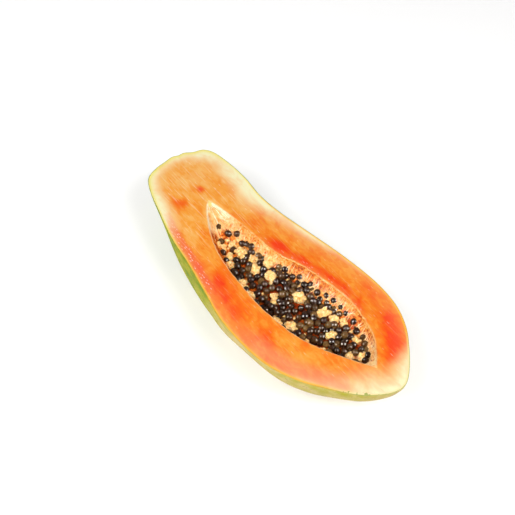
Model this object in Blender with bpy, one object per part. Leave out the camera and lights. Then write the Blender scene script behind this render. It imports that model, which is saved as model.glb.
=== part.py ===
"""Half of a papaya, cut lengthwise through the stem and the blossom end.

It lies on its skin with the cut face level and up. Along X the stem end is at -X and the blossom
end at +X. The skin and the flesh grew as one piece, papaya_half, with the seed cavity open at the
cut face. seed_bed is the stringy pith on the cavity's floor, with the seeds and the pale lumps
rooted in it. Lengths are in millimetres until a mesh is made, which is in metres.
"""

import math
import random

import bmesh
import bpy
from mathutils import Matrix, Vector

MM = 0.001

# The cut face's edge, each side from the stem scar to the blossom tip: along the fruit, across it.
NEAR_EDGE = [
    (-130.8, 2.5), (-132.3, -3.0), (-131.0, -11.0), (-129.3, -20.0), (-124.5, -30.5),
    (-113.0, -37.3), (-93.0, -43.5), (-66.0, -51.0), (-40.0, -55.0), (-13.0, -60.2),
    (15.0, -65.6), (45.0, -65.4), (66.0, -61.5), (86.0, -52.3), (103.0, -39.8),
    (119.0, -25.8), (129.5, -10.0), (132.5, 1.0),
]
FAR_EDGE = [
    (-130.8, 2.5), (-130.6, 8.0), (-127.4, 14.0), (-124.8, 22.5), (-117.0, 28.0),
    (-100.0, 31.0), (-82.0, 31.8), (-61.0, 30.2), (-39.0, 32.2), (-10.0, 38.2),
    (18.0, 44.0), (45.0, 47.8), (64.0, 48.3), (81.0, 45.8), (97.0, 39.0),
    (112.0, 28.0), (124.5, 16.2), (131.0, 7.5), (132.5, 1.0),
]
# Along the fruit in even steps from the stem: the half's depth as a share of its half width,
# and how far the near side stands out between the edge and the bottom.
DEPTH_SHARE = [1.0, 1.06, 1.12, 1.1, 0.96, 0.85, 0.85, 0.95]
NEAR_SWELL = [-2.0, -1.6, 0.0, 4.7, 2.5, -2.0, -0.2, 0.5, 0.0]
LOBES = 5
LOBE_HEIGHT = 0.8
SCAR_RADIUS = 7.0
SCAR_DEPTH = 2.0
REST_CUT = 1.5

# The seed cavity's rim in the cut face, each side from the stem end to the blossom end.
NEAR_RIM = [
    (-79.4, -6.0), (-74.0, -12.0), (-60.0, -20.6), (-42.0, -28.3), (-20.0, -33.0),
    (15.0, -35.2), (38.0, -33.5), (56.0, -30.2), (73.0, -23.4), (90.0, -13.6), (109.4, -1.2),
]
FAR_RIM = [
    (-79.4, -6.0), (-70.0, -3.0), (-50.0, 0.6), (-25.0, 3.0), (-6.0, 6.6),
    (12.0, 14.2), (38.0, 19.6), (56.0, 21.8), (76.0, 18.8), (92.0, 13.2), (109.4, -1.2),
]
# The cavity's depth in even steps along it, and how square its section is, where 2 is an ellipse.
CAVITY_DEPTH = [0.0, 14.0, 20.0, 24.5, 27.0, 28.5, 28.5, 26.5, 20.0, 0.0]
CAVITY_SQUARENESS = 2.5
CUTTER_RISE = 3.0
CUTTER_WIDTH = 400.0

# The bed of pith: how far its top lies below the cut face from the stem to the blossom end.
BED_LEVEL = [8.0, 10.3, 11.6, 11.9, 11.9, 11.9, 11.6]
BED_TILT = 2.5
BED_ENDS = (0.1, 0.92)
BED_CLEARANCE = 0.6
WAVE_HEIGHT = 0.4
WAVE_ALONG, WAVE_ACROSS, WAVE_BEND = 4.1, 3.7, 5.3

# The pale lumps among the seeds: along the fruit, across it, radius.
LUMPS = [
    (-46.0, -22.0, 2.6), (-41.0, -12.0, 2.2), (-33.0, -20.0, 2.6), (-31.0, -11.5, 3.6),
    (-27.0, -25.5, 2.6), (-20.0, -8.0, 3.2), (-12.0, -12.0, 3.4), (-10.0, -1.0, 4.4),
    (-8.0, -27.0, 2.6), (0.0, -7.0, 3.4), (3.0, -29.0, 3.0), (15.0, -16.0, 2.8),
    (27.0, -2.0, 4.2), (33.0, -28.5, 3.2), (42.0, -22.0, 3.4), (48.0, 3.0, 4.0),
    (57.0, 6.0, 2.8), (60.0, -24.5, 3.0), (63.0, 10.0, 2.8), (66.0, -4.0, 3.2),
    (71.0, -17.0, 2.8), (80.0, 7.5, 2.4), (86.0, -4.0, 2.6), (92.0, 2.0, 2.6),
]
LUMP_STAND = 0.35
LUMP_FLATTEN = 0.8

# The seeds: slightly long balls with their middles just above the pith.
SEED_RADIUS = 2.6
SEED_LENGTH_SHARE = 1.15
SEED_STAND = 0.9
SEED_SPAN = (-62.0, 101.0)
SEED_TRIES = 6000
SEED_SPACING = 4.8
# They lie further apart toward the stem end, before a place, over a stretch.
SPARSE_SPACING = 8.0
SPARSE_BEFORE = -34.0
SPARSE_FADE = 20.0
# Upper seeds are held up by two or more seeds at a distance, and sink in between them.
UPPER_TRIES = 2600
UPPER_SPACING = 4.9
UPPER_SINK = 1.1
UPPER_ACROSS = 0.75
HOLD_REACH = (3.6, 4.9)
# Clear space to the wall, and the share of its radius that a seed keeps from a lump.
WALL_GAP = 0.6
LUMP_SHARE = 0.75
RANDOM_SEED = 11

# How finely the surfaces are divided.
SKIN_ROWS, SKIN_STEPS = 64, 22
CAVITY_ROWS, CAVITY_STEPS = 40, 14
BED_STEPS = 9
CURVE_STEPS = 12
LEAST_REACH = 0.1
SHARP_ANGLE = math.radians(50)


def clear_scene():
    """Removes every object there is."""
    for ob in list(bpy.data.objects):
        bpy.data.objects.remove(ob, do_unlink=True)


def material(name, colour, roughness):
    """A plain glossy material of one colour."""
    mat = bpy.data.materials.new(name)
    mat.use_nodes = True
    shader = mat.node_tree.nodes["Principled BSDF"]
    shader.inputs["Base Color"].default_value = (*colour, 1.0)
    shader.inputs["Roughness"].default_value = roughness
    shader.inputs["Metallic"].default_value = 0.0
    return mat


def between(values, share):
    """Reads an evenly spaced list at a share of its length, on a smooth curve."""
    place = min(max(share, 0.0), 1.0) * (len(values) - 1)
    i = min(int(place), len(values) - 2)
    t = place - i
    before, after = values[max(i - 1, 0)], values[min(i + 2, len(values) - 1)]
    start, end = values[i], values[i + 1]
    return 0.5 * (
        2 * start
        + (end - before) * t
        + (2 * before - 5 * start + 4 * end - after) * t**2
        + (3 * start - before - 3 * end + after) * t**3
    )


def even_points(points, count):
    """Points at even steps of arc along the smooth curve through the given points."""
    xs, ys = [p[0] for p in points], [p[1] for p in points]
    steps = (len(points) - 1) * CURVE_STEPS
    curve = [Vector((between(xs, k / steps), between(ys, k / steps))) for k in range(steps + 1)]
    run = [0.0]
    for a, b in zip(curve, curve[1:]):
        run.append(run[-1] + (b - a).length)
    even, k = [], 0
    for i in range(count):
        wanted = run[-1] * i / (count - 1)
        while k < steps - 1 and run[k + 1] < wanted:
            k += 1
        t = (wanted - run[k]) / (run[k + 1] - run[k])
        even.append(curve[k].lerp(curve[k + 1], t))
    return even


def skin_rows():
    """The skin as rows of points, each row an arc under the fruit from the far to the near edge."""
    near = even_points(NEAR_EDGE, SKIN_ROWS + 1)
    far = even_points(FAR_EDGE, SKIN_ROWS + 1)
    scar = Vector((*NEAR_EDGE[0], 0.0))
    rows = []
    for i in range(1, SKIN_ROWS):
        share = i / SKIN_ROWS
        middle = (near[i] + far[i]) / 2
        reach = far[i] - middle
        depth = between(DEPTH_SHARE, share) * reach.length
        swell = between(NEAR_SWELL, share)
        lobe = LOBE_HEIGHT * math.sqrt(math.sin(math.pi * share))
        row = []
        for j in range(SKIN_STEPS + 1):
            angle = math.pi * j / SKIN_STEPS
            out = -lobe * math.sin(LOBES * angle)
            if angle > math.pi / 2:
                out -= swell * math.sin(2 * angle)
            point = Vector((
                middle.x + reach.x * math.cos(angle),
                middle.y + reach.y * math.cos(angle) + out * math.cos(angle),
                -depth * math.sin(angle) - out * math.sin(angle),
            ))
            from_scar = (point - scar).length / SCAR_RADIUS
            if from_scar < 1:
                point.x += SCAR_DEPTH * (1 - from_scar**2) * math.sin(angle)
            row.append(point)
        rows.append(row)
    return rows


def cavity_row(near, far, share, inset=0.0):
    """One arc of the cavity's wall, from the far rim down and up to the near rim."""
    middle = (near + far) / 2
    reach = far - middle
    keep = max(reach.length - inset, LEAST_REACH) / max(reach.length, LEAST_REACH)
    depth = max(between(CAVITY_DEPTH, share) - inset, LEAST_REACH)
    arc = []
    for j in range(CAVITY_STEPS + 1):
        angle = math.pi * j / CAVITY_STEPS
        across = math.copysign(abs(math.cos(angle)) ** (2 / CAVITY_SQUARENESS), math.cos(angle))
        down = max(math.sin(angle), 0.0) ** (2 / CAVITY_SQUARENESS)
        place = middle + reach * keep * across
        arc.append(Vector((place.x, place.y, -depth * down)))
    return arc


def add_object(name, work, mat):
    """An object from a finished bmesh."""
    mesh = bpy.data.meshes.new(name)
    work.to_mesh(mesh)
    work.free()
    mesh.materials.append(mat)
    ob = bpy.data.objects.new(name, mesh)
    bpy.context.scene.collection.objects.link(ob)
    return ob


def from_points(name, points, faces, mat):
    """An object from points in millimetres, with its faces turned outward."""
    work = bmesh.new()
    verts = [work.verts.new(p * MM) for p in points]
    for face in faces:
        work.faces.new([verts[k] for k in face])
    bmesh.ops.recalc_face_normals(work, faces=work.faces)
    return add_object(name, work, mat)


def boat(name, rows, start, end, mat, rise=0.0):
    """A closed hull of arcs between two pointed ends, its flat deck raised over its edge."""
    wide = len(rows[0])
    points = [p for row in rows for p in row] + [start, end]
    first, last = len(points) - 2, len(points) - 1
    faces = []
    for i in range(len(rows) - 1):
        for j in range(wide - 1):
            a = i * wide + j
            faces.append((a, a + 1, a + wide + 1, a + wide))
    back = (len(rows) - 1) * wide
    for j in range(wide - 1):
        faces.append((first, j + 1, j))
        faces.append((last, back + j, back + j + 1))
    far = [first] + [i * wide for i in range(len(rows))] + [last]
    near = [first] + [i * wide + wide - 1 for i in range(len(rows))] + [last]
    if rise:
        raised = {}
        for k in dict.fromkeys(far + near):
            raised[k] = len(points)
            points.append(points[k] + Vector((0, 0, rise)))
        for side in (far, near):
            for a, b in zip(side, side[1:]):
                faces.append((a, b, raised[b], raised[a]))
        far, near = [raised[k] for k in far], [raised[k] for k in near]
    for i in range(len(far) - 1):
        faces.append(tuple(dict.fromkeys((far[i], far[i + 1], near[i + 1], near[i]))))
    return from_points(name, points, faces, mat)


def boolean(ob, others, operation):
    """Cuts or joins the other objects, then removes them."""
    group = bpy.data.collections.new(ob.name + "_" + operation.lower())
    bpy.context.scene.collection.children.link(group)
    for other in others:
        bpy.context.scene.collection.objects.unlink(other)
        group.objects.link(other)
        other.hide_render = True
        other.display_type = "WIRE"
    cut = ob.modifiers.new(operation.title(), "BOOLEAN")
    cut.operand_type = "COLLECTION"
    cut.collection = group
    cut.operation = operation
    cut.solver = "MANIFOLD"
    bpy.context.view_layer.update()
    done = bpy.data.meshes.new_from_object(ob.evaluated_get(bpy.context.evaluated_depsgraph_get()))
    ob.modifiers.clear()
    ob.data = done
    for other in others:
        bpy.data.objects.remove(other, do_unlink=True)
    bpy.data.collections.remove(group)


def block_under(height, mat):
    """A block, wider than the fruit, with its top at a height."""
    work = bmesh.new()
    middle = Matrix.Translation((0.0, 0.0, (height - CUTTER_WIDTH / 2) * MM))
    bmesh.ops.create_cube(work, size=CUTTER_WIDTH * MM, matrix=middle)
    return add_object("rest_cutter", work, mat)


def make_papaya_half(near, far, mat):
    """Skin and flesh in one solid, with the cavity cut in and a flat spot to rest on."""
    rows = skin_rows()
    start, end = (Vector((*p, 0.0)) for p in (NEAR_EDGE[0], NEAR_EDGE[-1]))
    half = boat("papaya_half", rows, start, end, mat)
    bowl = [cavity_row(near[i], far[i], i / CAVITY_ROWS) for i in range(1, CAVITY_ROWS)]
    tips = [Vector((*p, 0.0)) for p in (near[0], near[-1])]
    cavity = boat("cavity_cutter", bowl, *tips, mat, rise=CUTTER_RISE)
    rest = min(p.z for row in rows for p in row) + REST_CUT
    boolean(half, [cavity, block_under(rest, mat)], "DIFFERENCE")
    return half, rest


def bed_top(place, low, high, share):
    """Height of the pith at a place, higher toward the far side, with soft waves."""
    bend = math.sin(place.y / WAVE_BEND)
    wave = math.sin(place.x / WAVE_ALONG + bend) * math.sin(place.y / WAVE_ACROSS)
    across = (2 * place.y - low - high) / (high - low)
    return WAVE_HEIGHT * wave + BED_TILT * across - between(BED_LEVEL, share)


def cavity_span(x, near, far):
    """The rim's two sides and the share of the way along the cavity, at a place along the fruit."""
    sides = []
    for curve in (near, far):
        k = min(range(len(curve) - 1), key=lambda n: abs((curve[n].x + curve[n + 1].x) / 2 - x))
        t = (x - curve[k].x) / (curve[k + 1].x - curve[k].x)
        sides.append((curve[k].lerp(curve[k + 1], t).y, (k + t) / (len(curve) - 1)))
    (low, a), (high, b) = sides
    return low, high, (a + b) / 2


def bed_ring(low, high, share):
    """One closed section of the pith: along the wall below its top, and back over the top."""
    arc = cavity_row(low, high, share, BED_CLEARANCE)
    sides = low.y, high.y, share
    below = []
    for a, b in zip(arc, arc[1:]):
        over_a, over_b = a.z - bed_top(a, *sides), b.z - bed_top(b, *sides)
        if (over_a < 0) != (over_b < 0):
            below.append(a.lerp(b, over_a / (over_a - over_b)))
        if over_b < 0:
            below.append(b)
    ring = []
    for j in range(BED_STEPS + 1):
        place = j / BED_STEPS * (len(below) - 1)
        k = min(int(place), len(below) - 2)
        ring.append(below[k].lerp(below[k + 1], place - k))
    for j in range(1, BED_STEPS):
        p = below[-1].lerp(below[0], j / BED_STEPS)
        p.z = bed_top(p, *sides)
        ring.append(p)
    return ring


def make_bed(near, far, mat):
    """The solid of pith under the seeds, clear of the cavity's wall all round."""
    first, last = (round(CAVITY_ROWS * end) for end in BED_ENDS)
    rings = [bed_ring(near[i], far[i], i / CAVITY_ROWS) for i in range(first, last + 1)]
    wide = len(rings[0])
    faces = [tuple(range(wide)), tuple((len(rings) - 1) * wide + j for j in reversed(range(wide)))]
    for i in range(len(rings) - 1):
        for j in range(wide):
            a, b = i * wide + j, i * wide + (j + 1) % wide
            faces.append((a, b, b + wide, a + wide))
    return from_points("seed_bed", [p for ring in rings for p in ring], faces, mat)


def room_across(x, z, radius, near, far):
    """How far from the cavity's middle line a ball of this radius still clears the wall."""
    low, high, share = cavity_span(x, near, far)
    half = (high - low) / 2 - radius - WALL_GAP
    depth = between(CAVITY_DEPTH, share) - radius - WALL_GAP
    if half <= 0 or depth <= abs(z):
        return 0.0
    return half * (1 - (abs(z) / depth) ** CAVITY_SQUARENESS) ** (1 / CAVITY_SQUARENESS)


def lay_down(x, y, stand, radius, near, far):
    """Sets a ball on the pith at a place, moved off the wall where it's too close, if it has room."""
    low, high, share = cavity_span(x, near, far)
    middle = (low + high) / 2
    place = Vector((x, y, 0.0))
    for _ in range(2):
        place.z = bed_top(place, low, high, share) + stand
        room = room_across(x, place.z - stand, radius, near, far)
        place.y = min(max(place.y, middle - room), middle + room)
    return place if room > 0 else None


def throw_seed(rng, span, across, near, far):
    """A random place on the pith with room for a seed there and no lump, or None."""
    x = rng.uniform(*span)
    low, high, _ = cavity_span(x, near, far)
    y = low + (high - low) * rng.uniform(0.0, across)
    place = lay_down(x, y, SEED_STAND, SEED_RADIUS * SEED_LENGTH_SHARE, near, far)
    if place is None:
        return None
    for a, b, radius in LUMPS:
        if math.hypot(x - a, place.y - b) < radius + SEED_RADIUS * LUMP_SHARE:
            return None
    return place


def lower_seeds(rng, near, far):
    """Seeds thrown on the pith one by one, each kept if it lies clear of those before."""
    seeds = []
    for _ in range(SEED_TRIES):
        place = throw_seed(rng, SEED_SPAN, 1.0, near, far)
        if place is None:
            continue
        sparse = max(0.0, min(1.0, (SPARSE_BEFORE - place.x) / SPARSE_FADE))
        spacing = SEED_SPACING + (SPARSE_SPACING - SEED_SPACING) * sparse
        if all((place.xy - s.xy).length > spacing for s in seeds):
            seeds.append(place)
    return seeds


def upper_seeds(rng, lower, near, far):
    """Seeds thrown on top of the lower ones, each kept where two or more of those hold it."""
    seeds = []
    for _ in range(UPPER_TRIES):
        place = throw_seed(rng, (SPARSE_BEFORE, SEED_SPAN[1]), UPPER_ACROSS, near, far)
        if place is None:
            continue
        gaps = [(place.xy - s.xy).length for s in lower]
        held = [(s.z, gap) for s, gap in zip(lower, gaps) if gap < HOLD_REACH[1]]
        if len(held) < 2 or min(gaps) < HOLD_REACH[0]:
            continue
        if any((place.xy - s.xy).length < UPPER_SPACING for s in seeds):
            continue
        place.z = max(z + math.sqrt((2 * SEED_RADIUS) ** 2 - gap**2) for z, gap in held)
        place.z -= UPPER_SINK
        seeds.append(place)
    return seeds


def ball(name, place, radius, stretch, turn, mat):
    """A small ball of twenty sides, stretched along its own axis."""
    work = bmesh.new()
    shape = Matrix.Translation(place * MM) @ turn @ Matrix.Diagonal((1, 1, stretch, 1))
    bmesh.ops.create_icosphere(work, subdivisions=1, radius=radius * MM, matrix=shape)
    return add_object(name, work, mat)


def random_turn(rng):
    """Any direction in space."""
    spin = Matrix.Rotation(rng.uniform(0, 2 * math.pi), 4, "Z")
    lean = Matrix.Rotation(rng.uniform(0, math.pi), 4, "X")
    return spin @ lean


def keep_largest(ob):
    """Drops sealed hollows and loose scraps, and leaves the one outer surface."""
    work = bmesh.new()
    work.from_mesh(ob.data)
    left, shells = set(work.verts), []
    while left:
        shell, todo = set(), [next(iter(left))]
        while todo:
            v = todo.pop()
            if v in shell:
                continue
            shell.add(v)
            todo += [e.other_vert(v) for e in v.link_edges]
        shells.append(shell)
        left -= shell
    largest = max(shells, key=len)
    spare = [v for shell in shells if shell is not largest for v in shell]
    bmesh.ops.delete(work, geom=spare, context="VERTS")
    work.to_mesh(ob.data)
    work.free()


def make_seed_bed(near, far, mat):
    """Pith, pale lumps and seeds in one solid."""
    rng = random.Random(RANDOM_SEED)
    bed = make_bed(near, far, mat)
    grown = []
    for x, y, radius in LUMPS:
        place = lay_down(x, y, LUMP_STAND * radius, radius, near, far)
        grown.append(ball("lump", place, radius, LUMP_FLATTEN, random_turn(rng), mat))
    lower = lower_seeds(rng, near, far)
    for place in lower + upper_seeds(rng, lower, near, far):
        grown.append(ball("seed", place, SEED_RADIUS, SEED_LENGTH_SHARE, random_turn(rng), mat))
    boolean(bed, grown, "UNION")
    keep_largest(bed)
    return bed


def stand_on_origin(objects, rest):
    """Puts the middle of the whole at the origin, with the flat spot at height zero."""
    corners = [v.co for ob in objects for v in ob.data.vertices]
    middle = [(min(c[k] for c in corners) + max(c[k] for c in corners)) / 2 for k in range(2)]
    shift = Matrix.Translation((-middle[0], -middle[1], -rest * MM))
    for ob in objects:
        ob.data.transform(shift)


clear_scene()
near_rim, far_rim = (even_points(side, CAVITY_ROWS + 1) for side in (NEAR_RIM, FAR_RIM))
flesh = material("papaya_flesh", (0.93, 0.33, 0.09), 0.4)
half, rest_height = make_papaya_half(near_rim, far_rim, flesh)
bed = make_seed_bed(near_rim, far_rim, material("papaya_seeds", (0.05, 0.035, 0.025), 0.25))
stand_on_origin([half, bed], rest_height)
for ob in (half, bed):
    ob.data.shade_smooth()
    ob.data.set_sharp_from_angle(angle=SHARP_ANGLE)
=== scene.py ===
# %% [markdown]
# # Half a papaya, cut lengthwise
#
# A ripe papaya, halved with one long cut and laid on its skin. The cut shows the whole fruit at
# once: a thin green and yellow skin, flesh that goes from cream under the skin to red round the
# middle, and a pointed hollow lined with pale pith, where dark wet seeds sit in heaps.
#
# The packed solids give the size and the place of everything. This script lays finer meshes over
# them and gives each surface its finish. Lengths are in millimetres until a mesh is made.

import math
import random

import bmesh
import bpy
import numpy as np
from mathutils import Matrix, Vector, noise


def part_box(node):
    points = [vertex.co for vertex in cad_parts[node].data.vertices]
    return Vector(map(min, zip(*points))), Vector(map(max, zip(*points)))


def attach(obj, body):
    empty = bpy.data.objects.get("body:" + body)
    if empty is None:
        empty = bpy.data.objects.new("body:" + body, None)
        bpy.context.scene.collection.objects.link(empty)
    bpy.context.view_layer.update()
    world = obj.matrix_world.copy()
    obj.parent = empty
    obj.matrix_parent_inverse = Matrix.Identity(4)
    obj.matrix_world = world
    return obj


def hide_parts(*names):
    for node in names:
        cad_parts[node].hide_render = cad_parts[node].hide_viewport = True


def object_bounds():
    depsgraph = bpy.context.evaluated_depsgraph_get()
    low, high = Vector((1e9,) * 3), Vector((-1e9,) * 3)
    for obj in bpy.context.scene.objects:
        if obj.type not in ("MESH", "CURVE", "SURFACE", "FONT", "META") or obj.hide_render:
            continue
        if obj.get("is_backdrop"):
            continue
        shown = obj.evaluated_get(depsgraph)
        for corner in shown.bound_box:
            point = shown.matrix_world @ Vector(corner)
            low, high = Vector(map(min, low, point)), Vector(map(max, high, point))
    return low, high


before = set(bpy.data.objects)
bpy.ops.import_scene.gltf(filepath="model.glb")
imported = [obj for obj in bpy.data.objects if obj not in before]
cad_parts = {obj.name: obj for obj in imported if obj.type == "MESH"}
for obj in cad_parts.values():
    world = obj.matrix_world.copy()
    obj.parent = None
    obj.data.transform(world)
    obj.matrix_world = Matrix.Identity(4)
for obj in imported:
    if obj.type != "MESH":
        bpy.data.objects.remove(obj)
solid_box = [list(corner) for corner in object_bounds()]

MM = 0.001
# The drawing's point that lies over the middle of the solids' box.
MIDDLE = (0.12, -8.81)
FACE_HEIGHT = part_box("papaya_half")[1].z
DEPTH = FACE_HEIGHT / MM
print("solids:", sorted(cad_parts), "cut face at", round(DEPTH, 2), "mm")

# %% [markdown]
# ## Where the eye is
#
# A camera needs three things: a place, a direction and a lens. All three were worked out once from
# the fruit's outline, as a fit is surer than turning the view by hand, and are written down here. A
# long lens is the usual choice for food: it keeps the near end from looking too large.

# %% The camera
# In metres, degrees, millimetres and shares of the picture's width.
CAMERA_PLACE = (0.3361, -0.3384, 0.6741)
CAMERA_TURN = (37.470, -5.343, 50.930)
LENS = 74.54
LENS_SHIFT = (-0.0443, 0.0145)

scene = bpy.context.scene


def put(name, data):
    """A new object in the scene, made of a mesh, a lamp or a camera."""
    made = bpy.data.objects.new(name, data)
    scene.collection.objects.link(made)
    return made


camera_data = bpy.data.cameras.new("camera")
camera_data.lens = LENS
camera_data.shift_x, camera_data.shift_y = LENS_SHIFT
camera = put("camera", camera_data)
camera.location = CAMERA_PLACE
camera.rotation_euler = [math.radians(a) for a in CAMERA_TURN]
scene.camera = camera
print("camera", round(camera.location.length, 3), "m from the fruit's resting spot")

# %% [markdown]
# ## A white table
#
# Food on white is shown on a table that glows a little itself, as a lit glass table does. The glow
# keeps the shade under the fruit faint. One wide flat face is enough for it, and since it's only a
# backdrop, it is marked as part of the stage.

# %% The table
FLOOR_SIZE, FLOOR_DROP = 6.0, 0.0002
TABLE_GREY, TABLE_ROUGHNESS, TABLE_GLOW = 0.7, 0.7, 0.26
WHITE = (1.0, 1.0, 1.0, 1.0)

half_floor = FLOOR_SIZE / 2
corners = ((-1, -1), (1, -1), (1, 1), (-1, 1))
floor_mesh = bpy.data.meshes.new("floor")
floor_mesh.from_pydata(
    [(x * half_floor, y * half_floor, -FLOOR_DROP) for x, y in corners], [], [(0, 1, 2, 3)]
)
table_top = bpy.data.materials.new("white_table")
table_top.use_nodes = True
table_shader = table_top.node_tree.nodes["Principled BSDF"].inputs
table_shader["Base Color"].default_value = (TABLE_GREY, TABLE_GREY, TABLE_GREY, 1.0)
table_shader["Roughness"].default_value = TABLE_ROUGHNESS
table_shader["Emission Color"].default_value = WHITE
table_shader["Emission Strength"].default_value = TABLE_GLOW
floor_mesh.materials.append(table_top)
floor = put("floor", floor_mesh)
floor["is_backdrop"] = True
print("table", FLOOR_SIZE, "m wide")

# %% [markdown]
# ## Cards and lamps
#
# Pale cards all round give an even light with hardly a shadow, and the world stands for them. Two
# large lamps, left and right of the eye, add a little form. They are hidden from gloss, or a pale
# veil would lie on the wet flesh. Two small warm lamps further out do the opposite: they light gloss
# alone, and put two small bright spots side by side on everything wet.

# %% World and lamps
CARD_LIGHT = 0.45
SPARK_COLOUR = (1.0, 0.9, 0.8)
# Name, place, size in metres, power in watts, gloss only.
LAMPS = [
    ("left_lamp", (0.12, -0.72, 0.9), 0.42, 8.5, False),
    ("right_lamp", (0.62, 0.0, 1.0), 0.42, 7.3, False),
    ("left_spark", (-0.24, -0.96, 0.61), 0.26, 78.0, True),
    ("right_spark", (0.85, 0.4, 0.75), 0.26, 78.0, True),
]

world = bpy.data.worlds.new("white_cards")
world.use_nodes = True
background = world.node_tree.nodes["Background"].inputs
background["Color"].default_value = WHITE
background["Strength"].default_value = CARD_LIGHT
scene.world = world
scene.view_settings.view_transform = "Standard"

for name, place, size, power, gloss_only in LAMPS:
    lamp_data = bpy.data.lights.new(name, "AREA")
    lamp_data.size = size
    lamp_data.energy = power
    if gloss_only:
        lamp_data.color = SPARK_COLOUR
    lamp = put(name, lamp_data)
    lamp.location = place
    lamp.visible_diffuse = not gloss_only
    lamp.visible_glossy = gloss_only
    lamp.rotation_euler = (-Vector(place)).to_track_quat("-Z", "Y").to_euler()
print("lamps:", [name for name, *_ in LAMPS])

# %% [markdown]
# ## Drawing the fruit's outlines
#
# A papaya isn't a turned shape, so no lathe will do. The cut face is drawn as two edges, each from
# the stem scar to the blossom tip, and so is the hollow's rim. A few points are enough where a
# smooth curve runs through them. The curve is then read at even steps, so that the mesh has even
# faces.

# %% The outlines
# Along the fruit and across it, from the stem to the blossom tip.
NEAR_EDGE = [
    (-130.8, 2.5), (-132.3, -3.0), (-131.0, -11.0), (-129.3, -20.0), (-124.5, -30.5),
    (-113.0, -37.3), (-93.0, -43.5), (-66.0, -51.0), (-40.0, -55.0), (-13.0, -60.2),
    (15.0, -65.6), (45.0, -65.4), (66.0, -61.5), (86.0, -52.3), (103.0, -39.8),
    (119.0, -25.8), (129.5, -10.0), (132.5, 1.0),
]
FAR_EDGE = [
    (-130.8, 2.5), (-130.6, 8.0), (-127.4, 14.0), (-124.8, 22.5), (-117.0, 28.0),
    (-100.0, 31.0), (-82.0, 31.8), (-61.0, 30.2), (-39.0, 32.2), (-10.0, 38.2),
    (18.0, 44.0), (45.0, 47.8), (64.0, 48.3), (81.0, 45.8), (97.0, 39.0),
    (112.0, 28.0), (124.5, 16.2), (131.0, 7.5), (132.5, 1.0),
]
NEAR_RIM = [
    (-79.4, -6.0), (-74.0, -12.0), (-60.0, -20.6), (-42.0, -28.3), (-20.0, -33.0),
    (15.0, -35.2), (38.0, -33.5), (56.0, -30.2), (73.0, -23.4), (90.0, -13.6), (109.4, -1.2),
]
FAR_RIM = [
    (-79.4, -6.0), (-70.0, -3.0), (-50.0, 0.6), (-25.0, 3.0), (-6.0, 6.6),
    (12.0, 14.2), (38.0, 19.6), (56.0, 21.8), (76.0, 18.8), (92.0, 13.2), (109.4, -1.2),
]
CURVE_STEPS = 12


def between(values, share):
    """Reads an evenly spaced list at a share of its length, on a smooth curve."""
    values = np.asarray(values, float)
    place = np.clip(share, 0.0, 1.0) * (len(values) - 1)
    i = np.minimum(np.asarray(place).astype(int), len(values) - 2)
    t = place - i
    before, start = values[np.maximum(i - 1, 0)], values[i]
    end, after = values[i + 1], values[np.minimum(i + 2, len(values) - 1)]
    return 0.5 * (
        2 * start
        + (end - before) * t
        + (2 * before - 5 * start + 4 * end - after) * t**2
        + (3 * start - before - 3 * end + after) * t**3
    )


def even_points(points, count):
    """Points at even steps of arc along the smooth curve through the given points."""
    shares = np.linspace(0.0, 1.0, (len(points) - 1) * CURVE_STEPS + 1)
    xs, ys = (between([p[k] for p in points], shares) for k in (0, 1))
    run = np.concatenate([[0.0], np.cumsum(np.hypot(np.diff(xs), np.diff(ys)))])
    wanted = np.linspace(0.0, run[-1], count)
    return np.column_stack([np.interp(wanted, run, xs), np.interp(wanted, run, ys)])


print("cut face", round(max(p[0] for p in NEAR_EDGE) - min(p[0] for p in NEAR_EDGE)), "mm long")

# %% [markdown]
# ## The skin's form
#
# Under the cut face the fruit is a row of arcs from one edge to the other. Each arc is half an
# ellipse with soft lobes, since a papaya grows from five joined parts. It is deepest toward the
# stem and flatter round the belly, and the fruit's weight presses a small flat spot. Low waves a
# few centimetres long keep it from looking turned.

# %% The skin's arcs
DEPTH_SHARE = [1.0, 1.06, 1.12, 1.1, 0.96, 0.85, 0.85, 0.95]
NEAR_SWELL = [-2.0, -1.6, 0.0, 4.7, 2.5, -2.0, -0.2, 0.5, 0.0]
LOBES, LOBE_HEIGHT = 5, 0.8
SCAR_RADIUS, SCAR_DEPTH = 7.0, 2.0
ROWS, SKIN_STEPS = 260, 84
WAVE_HEIGHT, WAVE_LENGTH = 0.35, 26.0
EDGE_DROP = 0.2
# How fast the finer waves of the noise fade, and how much finer each is than the last.
NOISE_FADE, NOISE_STEP = 0.9, 2.0


def soft_noise(points, length, detail=2):
    """Smooth random values from -1 to 1 at points, with waves of about the given length."""
    places = (Vector(p) / length for p in points)
    return np.array([noise.fractal(place, NOISE_FADE, NOISE_STEP, detail) for place in places])


def arc_frame(near, far, steps):
    """For arcs between two sides: the share along them, the angle, the middles and half widths."""
    share = np.linspace(0.0, 1.0, len(near))[1:-1, None]
    angle = np.linspace(0.0, math.pi, steps + 1)[None, :]
    return share, angle, (near + far)[1:-1, None, :] / 2, (far - near)[1:-1, None, :] / 2


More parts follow.
